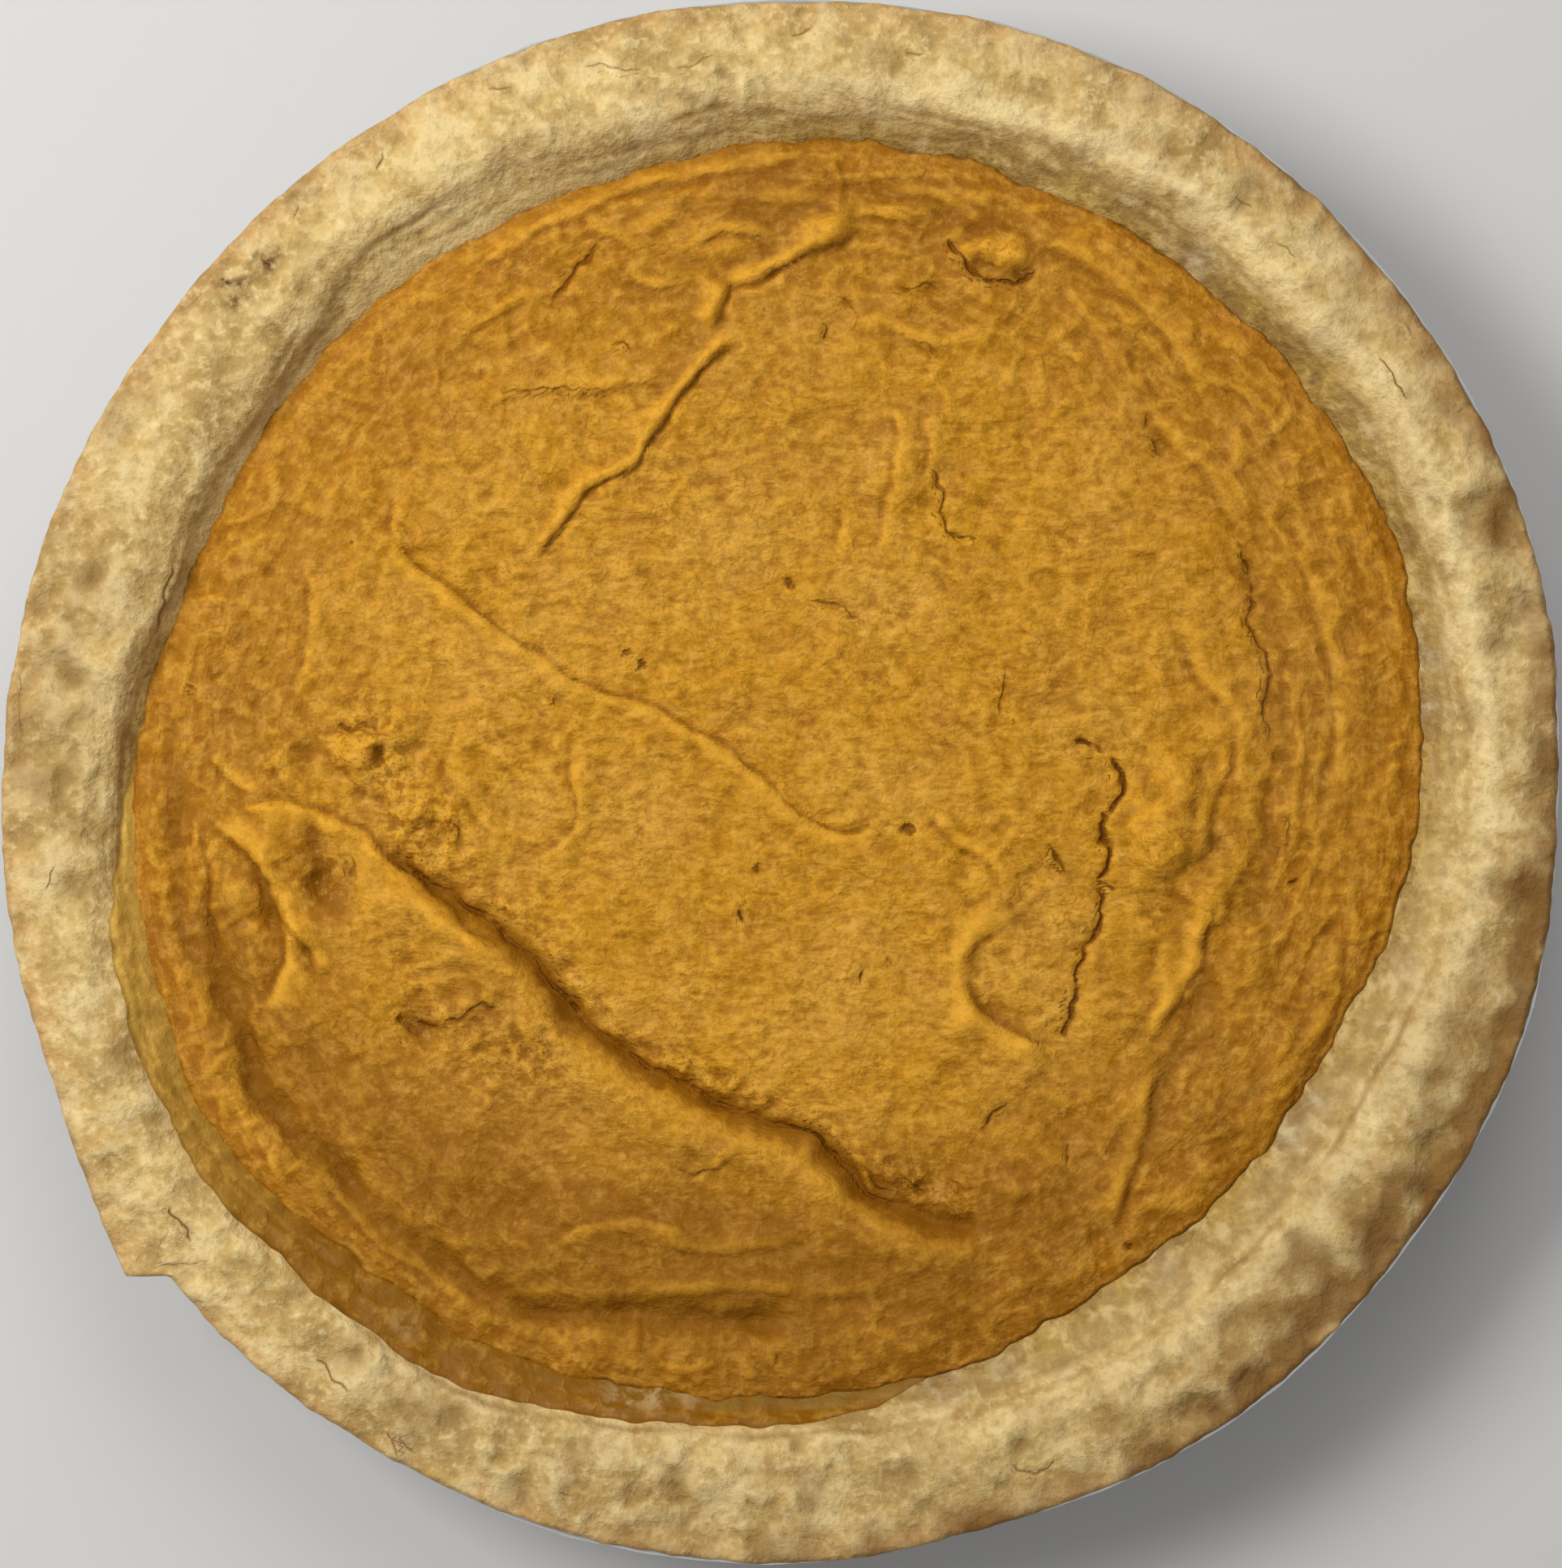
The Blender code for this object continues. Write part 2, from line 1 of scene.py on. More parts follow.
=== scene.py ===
import bpy
import numpy as np
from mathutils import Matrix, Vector


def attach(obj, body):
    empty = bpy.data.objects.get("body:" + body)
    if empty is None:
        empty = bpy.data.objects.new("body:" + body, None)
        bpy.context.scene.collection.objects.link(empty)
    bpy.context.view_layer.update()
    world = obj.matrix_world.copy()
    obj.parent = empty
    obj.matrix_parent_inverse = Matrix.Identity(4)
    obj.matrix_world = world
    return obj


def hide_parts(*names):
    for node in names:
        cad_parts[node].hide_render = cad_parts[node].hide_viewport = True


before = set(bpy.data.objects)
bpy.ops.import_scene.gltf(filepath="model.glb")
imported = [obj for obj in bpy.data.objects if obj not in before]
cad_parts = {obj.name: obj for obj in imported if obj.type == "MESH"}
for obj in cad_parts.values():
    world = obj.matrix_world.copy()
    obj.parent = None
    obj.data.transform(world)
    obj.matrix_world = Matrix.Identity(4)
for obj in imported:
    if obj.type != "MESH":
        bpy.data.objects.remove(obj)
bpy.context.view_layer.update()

# The view: straight down on the pie, near the middle of its outline, as the photograph was taken.
# The frame is 1925 by 1932 pixels, and one pixel is 0.1275 mm at the height of the crust's edge.
MM = 0.001
PIXEL = 0.1275
FRAME_WIDTH = 1925
EYE_HEIGHT = 0.95
EDGE_HEIGHT = 0.0335
EYE_PLACE = (-0.0001, -0.0003)
SENSOR = 36.0

eye = bpy.data.cameras.new("eye")
eye.sensor_fit = "HORIZONTAL"
eye.sensor_width = SENSOR
eye.lens = SENSOR * (EYE_HEIGHT - EDGE_HEIGHT) / (FRAME_WIDTH * PIXEL * MM)
eye.clip_start = 0.01
eye_object = bpy.data.objects.new("eye", eye)
eye_object.location = (*EYE_PLACE, EYE_HEIGHT)
bpy.context.scene.collection.objects.link(eye_object)
bpy.context.scene.camera = eye_object


# The filling: mashed sweet potato custard, poured into the raw crust and baked until its skin set. The skin
# has wrinkled into ridges and one long crease, torn in places, and browned towards its edge.

# The whole pie is measured in millimetres from the pan's axis. The middle of its outline lies a little off
# that axis, as the loose flap of dough makes the pie wider on one side.
OUTLINE_SHIFT = np.array((0.228, -0.287, 0.0))


def mesh_piece(name, points, faces, marks=None):
    """Smooth mesh at the origin from points in millimetres from the pan's axis, arrays of faces with three or
    four corners, and named marks: one number for each point, which the material reads as an attribute."""
    mesh = bpy.data.meshes.new(name)
    mesh.vertices.add(len(points))
    mesh.vertices.foreach_set("co", ((points + OUTLINE_SHIFT) * MM).astype(np.float32).ravel())
    corners = np.concatenate([part.ravel() for part in faces]).astype(np.int32)
    sizes = np.concatenate([np.full(len(part), part.shape[1]) for part in faces])
    mesh.loops.add(len(corners))
    mesh.loops.foreach_set("vertex_index", corners)
    mesh.polygons.add(len(sizes))
    mesh.polygons.foreach_set("loop_start", np.concatenate(([0], np.cumsum(sizes)[:-1])).astype(np.int32))
    mesh.update(calc_edges=True)
    mesh.validate()
    for label, values in (marks or {}).items():
        mesh.attributes.new(label, "FLOAT", "POINT").data.foreach_set("value", values.astype(np.float32))
    mesh.shade_smooth()
    piece = bpy.data.objects.new(name, mesh)
    bpy.context.scene.collection.objects.link(piece)
    return piece


def ring_faces(lower, upper):
    """Quads between two rings of point numbers that run the same way round. They face out where the upper
    ring is above the lower one."""
    return np.column_stack((lower, np.roll(lower, -1), np.roll(upper, -1), upper))


def sheet_faces(numbers):
    """Quads of a grid of point numbers: each number with the next in its row and the two below these."""
    corners = (numbers[:-1, :-1], numbers[:-1, 1:], numbers[1:, 1:], numbers[1:, :-1])
    return np.stack(corners, axis=-1).reshape(-1, 4)


def sheet_border(numbers):
    """The border of a grid of point numbers, once round: first row, last column, last row, first column."""
    return np.concatenate((numbers[0, :-1], numbers[:-1, -1], numbers[-1, :0:-1], numbers[:0:-1, 0]))


def on_ring(radius, angle, level):
    """Points at a radius, an angle and a height, each an array or one number for the whole ring."""
    return np.column_stack(np.broadcast_arrays(radius * np.cos(angle), radius * np.sin(angle), level))


def closed_by_rings(points, faces, ring, angle, stations, middle, down):
    """Adds rings of points at (radius, height) stations, joins each to the ring before, and closes the last
    one with a fan round a point at the middle height. Down is for a surface that faces out as it goes
    down."""
    for radius, level in stations:
        added = np.arange(len(points), len(points) + len(ring))
        points = np.vstack((points, on_ring(radius, angle, level)))
        faces.append(ring_faces(added, ring) if down else ring_faces(ring, added))
        ring = added
    points = np.vstack((points, (0.0, 0.0, middle)))
    ahead = np.roll(ring, -1)
    tip = np.full(len(ring), len(points) - 1)
    faces.append(np.column_stack((ahead, ring, tip) if down else (ring, ahead, tip)))
    return points


def ring_radius(azimuth, stations):
    """Radius at each azimuth in degrees: a closed Catmull-Rom curve through (azimuth, radius) stations, which
    is a cubic between two stations whose slopes there come from the stations on either side."""
    stations = np.array(stations, dtype=float)
    count = len(stations)
    degrees = np.concatenate((stations[:, 0] - 360.0, stations[:, 0], stations[:, 0] + 360.0))
    radii = np.tile(stations[:, 1], 3)
    azimuth = np.mod(azimuth, 360.0)
    i = np.clip(np.searchsorted(degrees, azimuth, side="right") - 1, count - 1, 2 * count)
    span = degrees[i + 1] - degrees[i]
    t = (azimuth - degrees[i]) / span
    slope_here = (radii[i + 1] - radii[i - 1]) / (degrees[i + 1] - degrees[i - 1]) * span
    slope_next = (radii[i + 2] - radii[i]) / (degrees[i + 2] - degrees[i]) * span
    here = (2 * t**3 - 3 * t**2 + 1) * radii[i] + (t**3 - 2 * t**2 + t) * slope_here
    return here + (3 * t**2 - 2 * t**3) * radii[i + 1] + (t**3 - t**2) * slope_next


def held(value):
    """The value, held between 0 and 1."""
    return np.clip(value, 0.0, 1.0)


def bell(offset):
    """A bell-shaped weight: 1 where the offset is 0, and e to the power of minus its square elsewhere."""
    return np.exp(-(offset**2))


def grain(x, y, size, seed, cells=128):
    """Gradient noise from about -0.7 to 0.7: a random slope at each corner of a square lattice whose cells
    are size wide, and the four slopes' heights blended by the fade 6t^5 - 15t^4 + 10t^3. The lattice
    repeats after a number of cells."""
    turn = np.random.default_rng(seed).uniform(0.0, 2.0 * np.pi, (cells, cells))
    column = np.floor(x / size).astype(int)
    row = np.floor(y / size).astype(int)
    across = x / size - column
    up = y / size - row
    fade_x = across**3 * (across * (6 * across - 15) + 10)
    fade_y = up**3 * (up * (6 * up - 15) + 10)

    def corner(dx, dy):
        """Height at the point of the slope that belongs to one corner of its cell."""
        angle = turn[(row + dy) % cells, (column + dx) % cells]
        return np.cos(angle) * (across - dx) + np.sin(angle) * (up - dy)

    low = corner(0, 0) + fade_x * (corner(1, 0) - corner(0, 0))
    high = corner(0, 1) + fade_x * (corner(1, 1) - corner(0, 1))
    return low + fade_y * (high - low)


def grains(x, y, rows):
    """Sum of noises, each row of them its height, size and seed."""
    return sum(height * grain(x, y, size, seed) for height, size, seed in rows)


def jostled(x, y, rows):
    """The place moved along x and y by noises, each row its reach, size, seed for x and seed for y."""
    return (x + grains(x, y, [(reach, size, seed) for reach, size, seed, _ in rows]),
            y + grains(x, y, [(reach, size, seed) for reach, size, _, seed in rows]))


def bells(x, y, rows):
    """Sum of bell-shaped bumps, each row of them its x, y, height and reach."""
    total = np.zeros_like(x)
    for at_x, at_y, rise, reach in rows:
        total += rise * np.exp(-((x - at_x) ** 2 + (y - at_y) ** 2) / reach**2)
    return total


def smooth_route(points, step):
    """Points at even steps along the Catmull-Rom curve through the given ones."""
    points = np.array(points, dtype=float)
    ends = np.vstack((2 * points[0] - points[1], points, 2 * points[-1] - points[-2]))
    t = np.linspace(0.0, 1.0, 16, endpoint=False)[None, :, None]
    before, here, after, beyond = (ends[k:len(ends) - 3 + k, None, :] for k in range(4))
    fine = here + 0.5 * t * (after - before) + t**2 * (before - 2.5 * here + 2 * after - 0.5 * beyond)
    fine = fine + t**3 * (1.5 * here - 1.5 * after + 0.5 * (beyond - before))
    fine = np.vstack((fine.reshape(-1, 2), points[-1:]))
    travelled = np.concatenate(([0.0], np.cumsum(np.hypot(*np.diff(fine, axis=0).T))))
    even = np.linspace(0.0, travelled[-1], max(3, int(round(travelled[-1] / step)) + 1))
    return np.column_stack([np.interp(even, travelled, fine[:, axis]) for axis in (0, 1)])


def offset_to_route(x, y, route, fade_length):
    """Signed distance to a route, positive on its left, and a fade from 1 down to 0 at its two ends: for each
    point the nearest of the route's straight pieces gives the distance, the side and the length travelled."""
    start = route[:-1]
    run = route[1:] - start
    length = np.hypot(run[:, 0], run[:, 1])
    travelled = np.concatenate(([0.0], np.cumsum(length)))
    dx = x[:, None] - start[:, 0]
    dy = y[:, None] - start[:, 1]
    t = held((dx * run[:, 0] + dy * run[:, 1]) / length**2)
    away = np.hypot(dx - t * run[:, 0], dy - t * run[:, 1])
    nearest = np.argmin(away, axis=1)
    rows = np.arange(len(x))
    cross = run[nearest, 0] * dy[rows, nearest] - run[nearest, 1] * dx[rows, nearest]
    along = travelled[nearest] + t[rows, nearest] * length[nearest]
    fade = held(np.minimum(along, travelled[-1] - along) / fade_length)
    return away[rows, nearest] * np.sign(cross), fade * fade * (3.0 - 2.0 * fade)


class Socket:
    """A shader value. Sums, products and so on of sockets and numbers add the Math nodes that work them
    out."""

    def __init__(self, tree, output):
        self.tree = tree
        self.output = output

    def feed(self, item, inputs):
        """Puts values on the sockets of a node, or links them to other sockets."""
        for key, value in inputs.items():
            if isinstance(value, Socket):
                self.tree.links.new(value.output, item.inputs[key])
            else:
                item.inputs[key].default_value = value

    def node(self, kind, settings=None, inputs=None, out=0):
        """Adds any node: its type, its settings, then the values or links of its sockets."""
        item = self.tree.nodes.new(kind)
        for key, value in (settings or {}).items():
            setattr(item, key, value)
        self.feed(item, inputs or {})
        return Socket(self.tree, item.outputs[out])

    def maths(self, operation, *values):
        """One Math node on this socket and further values."""
        return self.node("ShaderNodeMath", {"operation": operation}, dict(enumerate((self, *values))))

    def vectors(self, operation, *values, out=0):
        """One Vector Math node on this socket and further vectors."""
        inputs = dict(enumerate((self, *values)))
        return self.node("ShaderNodeVectorMath", {"operation": operation}, inputs, out)

    def __add__(self, other):
        return self.maths("ADD", other)

    def __sub__(self, other):
        return self.maths("SUBTRACT", other)

    def __rsub__(self, other):
        return self.node("ShaderNodeMath", {"operation": "SUBTRACT"}, {0: other, 1: self})

    def __mul__(self, other):
        return self.maths("MULTIPLY", other)

    __radd__ = __add__
    __rmul__ = __mul__

    def clamp(self, low, high):
        """This value brought from the range low to high onto 0 to 1, and held there."""
        inputs = {"Value": self, "From Min": low, "From Max": high}
        return self.node("ShaderNodeMapRange", {"clamp": True}, inputs)

    def fall(self, low, high):
        """1 where this value is low or less, falling to 0 where it is high or more."""
        return 1.0 - self.clamp(low, high)

    def mark(self, name):
        """A mark that the mesh carries at each point."""
        return self.node("ShaderNodeAttribute", {"attribute_name": name}, out="Fac")

    def place(self, stretch=(1.0, 1.0, 1.0)):
        """The object's own coordinates in millimetres, stretched along each axis."""
        metres = self.node("ShaderNodeTexCoord", out="Object")
        return metres.vectors("MULTIPLY", [value / MM for value in stretch])

    def noise(self, size, detail=2.0, rough=0.55, out="Fac"):
        """Noise at this place, with features about size millimetres wide."""
        inputs = {"Vector": self, "Scale": 1.0 / size, "Detail": detail, "Roughness": rough}
        return self.node("ShaderNodeTexNoise", None, inputs, out)

    def warped(self, size, reach):
        """This place moved along each axis by up to reach millimetres, by noise of the given size."""
        return self.noise(size, 1.0, 0.5, "Color").vectors("MULTIPLY_ADD", (reach, reach, reach), self)

    def ring_place(self, radius):
        """This place with its way round the middle drawn in to a circle of the given radius: x and y lie on
        that circle, and the third value is the distance from the middle. Noise there runs round the pie."""
        flat = self.vectors("MULTIPLY", (1.0, 1.0, 0.0))
        upright = self.node("ShaderNodeCombineXYZ", None, {"Z": flat.vectors("LENGTH", out="Value")})
        return flat.vectors("NORMALIZE").vectors("MULTIPLY_ADD", (radius, radius, radius), upright)

    def line(self, mark, wobble, thin, wide):
        """A line that the mesh carries as the offset from it: 1 in the line, and 0 from wide away."""
        return (self.mark(mark) + wobble).maths("ABSOLUTE").fall(thin, wide) * self.mark(mark + "_depth")

    def pillows(self, size):
        """Rounded pads between thin sharp creases, from 0 in a crease to 1: how far noise is from its
        mean."""
        return (self.noise(size, 1.5) - 0.5).maths("ABSOLUTE").clamp(0.0, 0.16)

    def coloured(self, base, layers):
        """The base colour with layers over it, each a colour and the share of it that is mixed in."""
        settings = {"data_type": "RGBA", "blend_type": "MIX"}
        for tone, share in layers:
            base = self.node("ShaderNodeMix", settings, {0: share, 6: base, 7: tone}, out=2)
        return base

    def bumps(self, step):
        """The surface direction that this value gives as a relief of step metres."""
        return self.node("ShaderNodeBump", None, {"Strength": 1.0, "Distance": step, "Height": self})


def new_material(piece, name):
    """A Principled material on a piece: its tree, as a Socket to build on, and its shader node."""
    material = bpy.data.materials.new(name)
    material.use_nodes = True
    piece.data.materials.append(material)
    return Socket(material.node_tree, None), material.node_tree.nodes["Principled BSDF"]


def colour(red, green, blue):
    """Linear colour with alpha from the 0 to 255 values that a picture shows."""
    share = np.array((red, green, blue)) / 255.0
    linear = np.where(share <= 0.04045, share / 12.92, ((share + 0.055) / 1.055) ** 2.4)
    return (*(float(value) for value in linear), 1.0)


FILLING_GRID = 300
FILLING_LEVEL = 28.0
FILLING_LEFT_RISE = 0.8
FILLING_LEFT_AZIMUTH = 205.0
FILLING_LEFT_SPREAD = 45.0
FILLING_FOOT = (81.3, 6.6)
FILLING_BASE = 4.5
FILLING_BASE_RADIUS = 78.1
SHOULDER_RISE = 1.3
SHOULDER_WIDTH = 3.2
BORDER_WIDTH = 2.2
DOME_RISE = 0.5
PAN_BASE = 87.0
FILLING_EDGE = [
    (5, 101.2), (12, 102.4), (20, 104), (28, 103.9), (36, 103.5), (45, 103.4), (60, 102.9), (75, 102.5),
    (88, 102), (110, 98.8), (135, 99.6), (150, 98.9), (163, 99.4), (180, 102.6), (192, 103.2),
    (202, 103.8), (211, 105.4), (222, 102.4), (232, 100.7), (242, 100.6), (254, 98.5), (266, 97.4),
    (288, 96.2), (302, 94.4), (318, 95.1), (334, 95.8), (350, 99.4)]
# Wrinkles: half width, height, depth of the furrow on the right of the route, fade at the ends, route
WRINKLES = [
    (1, 1.1, 0.7, 4, [(-10, 79), (-6.4, 80.1), (-0.1, 82.5), (6.2, 85.9), (12.6, 89)]),
    (1.6, 0.9, 0.3, 3, [(2, 84.4), (6.2, 86.6), (12, 89.2)]),
    (1.5, 1.2, 0.6, 3, [(-12.4, 70.6), (-11.6, 73.4), (-10.2, 77.1), (-9, 80)]),
    (0.9, 0.8, 0.4, 4, [(-17, 84.6), (-12.8, 86), (-8.9, 87.9), (-3.1, 87.4), (-0.6, 85.4)]),
    (1.3, 0.5, 0.2, 4, [(-15, 83.4), (-8.5, 84.6), (-2, 84.2)]),
    (0.9, 1, 0.9, 4, [(-40.2, 35.6), (-36.6, 40), (-31.2, 46.8), (-23.6, 50.9), (-20.9, 56.2),
        (-15.7, 63), (-12.2, 67.3), (-9.6, 69.9), (-6.4, 70.6)]),
    (0.9, 0.85, 0.5, 5, [(15.7, -7.1), (11, -8.9), (6.8, -8), (1.9, -5.4), (-8, 3.6), (-18.7, 9.9),
        (-29.8, 14.4), (-40.4, 20.1), (-50.2, 27.3), (-57.4, 32.6), (-60.6, 36.2), (-60.1, 40.3)]),
    (1.3, 1.4, 0.7, 4, [(-89.1, -5.2), (-86.2, -7.6), (-83.3, -10.6), (-80.4, -15.6), (-77.6, -20.6),
        (-74.4, -25.4), (-71.5, -30)]),
    (1.2, 1, 0.6, 4, [(-78, -19.6), (-77.8, -23.5), (-78.2, -27.6), (-78.8, -32.4), (-81.6, -36)]),
    (0.8, 0.3, 0.7, 5, [(-90.5, -5), (-89.9, -14.5), (-89.3, -21.8), (-87, -30)]),
    (1.2, 1.3, 0.5, 6, [(-43.7, -28.8), (-48.5, -25), (-54.5, -19.6), (-61.5, -13.3), (-66, -9.2),
        (-70, -6.8), (-75, -4.6), (-80, -3.9), (-86, -4.2)]),
    (1.6, 1.4, 0.45, 5, [(43, -44), (37.5, -41), (32, -38), (28.4, -34), (27.6, -29), (29.4, -24.6),
        (33.6, -22.4), (37.2, -18.6)]),
    (0.8, 0.7, 0.3, 4, [(22.4, -3.6), (26, -7.1), (28.6, -9.6), (33.5, -12), (36, -18)]),
    (1.2, 1.3, 0.5, 5, [(57.6, -40), (61.6, -33), (64.6, -28.4), (65.4, -23), (67.2, -17.3)]),
    (1.5, 0.7, 0.5, 6, [(48.6, -71.8), (54.1, -61.5), (57.6, -48.1), (59.4, -42.7)]),
    (1.3, 0.5, 0.3, 6, [(58, 63.2), (59.3, 56.9), (64.4, 51.8), (69.5, 46.7), (72, 40.3)]),
    (1.1, 0.8, 0.3, 3, [(-90.5, 6), (-86, 1), (-82, -2)]),
    (1.1, 0.8, 0.3, 3, [(-80.7, 6.8), (-79, 2.5), (-78.5, -1)]),
    (1, 0.6, 0.3, 5, [(-76, 36.5), (-74, 29), (-74.5, 20), (-77, 12)]),
    (0.9, 0.5, 0.3, 4, [(-13.4, -61.5), (-9.5, -58.5), (-6, -57)]),
    (1.2, 0.5, 0.3, 7, [(-75, -58), (-68, -67), (-58, -76), (-48, -82)]),
    (1.3, 0.4, 0.2, 8, [(-30, -66), (-20, -72), (-6, -73), (6, -70.5)]),
    (1.2, 0.4, 0.2, 8, [(-24, -80), (-10, -79), (6, -80), (22, -78)]),
    (1, 0.5, 0.3, 5, [(-14, -72), (-22, -69), (-31, -70), (-38, -74)]),
    (1.2, 0.6, 0.3, 6, [(18, 62), (19, 52), (17, 42), (16, 33)]),
    (1, 0.5, 0.3, 5, [(22.5, 60), (23.5, 52), (22, 45)]),
    (1, 0.5, 0.3, 4, [(10.5, 46), (10.2, 40), (8.6, 34)]),
    (1.3, 0.6, 0.4, 6, [(62, 28), (66, 18), (72, 10), (72, -2)]),
    (1.4, 0.5, 0.4, 8, [(80, 40), (86, 26), (88, 10), (86, -8)]),
    (1.4, 0.5, 0.3, 8, [(40, 88), (52, 80), (62, 70), (70, 58)]),
    (1.4, 0.6, 0.4, 8, [(-50, 81.5), (-36, 89.2), (-22.6, 95.1), (-12.8, 97), (-3.1, 98.6), (5, 99.4)]),
    (1, 0.6, 0.3, 4, [(-33, 88), (-26, 87), (-20.5, 89), (-15, 91)]),
    (1, 0.6, 0.3, 4, [(-26, 80.5), (-19.5, 79), (-13.5, 80)]),
    (1.1, 0.5, 0.3, 5, [(10, 95), (13, 90.5), (12, 86)]),
    (0.9, 0.5, 0.3, 5, [(16, 93.5), (24, 93), (30, 89.5), (33, 87.5)]),
    (1, 0.5, 0.3, 5, [(45, 78), (50, 71), (53, 63)]),
    (0.9, 0.5, 0.3, 5, [(8, 72), (16, 72.5), (25, 70), (33, 71)]),
    (0.9, 0.5, 0.3, 5, [(-52, 70), (-45, 75), (-38.5, 77.5)]),
    (1.2, 0.6, 0.3, 6, [(-31, 8), (-33, 2), (-32, -4), (-34, -9), (-40, -14)]),
    (1, 0.5, 0.3, 5, [(-50, 10), (-52, 3), (-48, -4), (-44, -9)]),
    (1.1, 0.6, 0.4, 5, [(68, -14), (66, -5), (70, 4), (68, 14)]),
    (0.9, 0.5, 0.3, 4, [(-60, 46), (-61, 40), (-58, 36)]),
    (1, 0.5, 0.3, 4, [(-47, 60), (-38, 63), (-28, 63), (-18, 64)]),
    (1, 0.5, 0.3, 4, [(-34, 92), (-26, 86), (-20, 84)]),
    (1.2, 0.5, 0.3, 5, [(-6, 93), (6, 92), (18, 90), (28, 92)]),
    (1.4, 0.6, 0.3, 6, [(56, -22), (60, -27), (57, -34)]),
    (1.2, 0.5, 0.4, 6, [(74, -60), (80, -48), (86, -36), (88, -24)])]
# How much of the heights above the wrinkles, furrows and cracks keep, and how narrow the cracks are
WRINKLE_SHARE = 1.25
FURROW_SHARE = 0.9
CRACK_SHARE = 0.55
CRACK_WIDTH = 0.72
# The long crease: its gap, with a smooth lip on the left of the route and crumbs on the right
CREASE = [
    (34.9, -70.8), (31, -70.2), (25.2, -69.3), (19.4, -66.9), (15.4, -65.6), (12.4, -63.4), (10.3, -60.8),
    (5.2, -56.4), (-0.5, -53.7), (-9.2, -50.7), (-17, -46.8), (-23.6, -43), (-28, -40), (-31.2, -37.3),
    (-34.4, -33.8), (-38.6, -28.3), (-42.2, -24.8), (-46.3, -21.2), (-52.5, -17.7), (-57, -15),
    (-61, -12.6), (-66, -8.4)]
CREASE_GAP = (0.6, 0.7)
CREASE_VALLEY = (2.1, 4.8, 2.2)
CREASE_LIP = (4.3, 2.2, 2.5, 6.5)
CREASE_CRUMBS = (2.6, 0.3, 2.2)
CREASE_FADE = 9.0
CREASE_CLOSES = 22.0
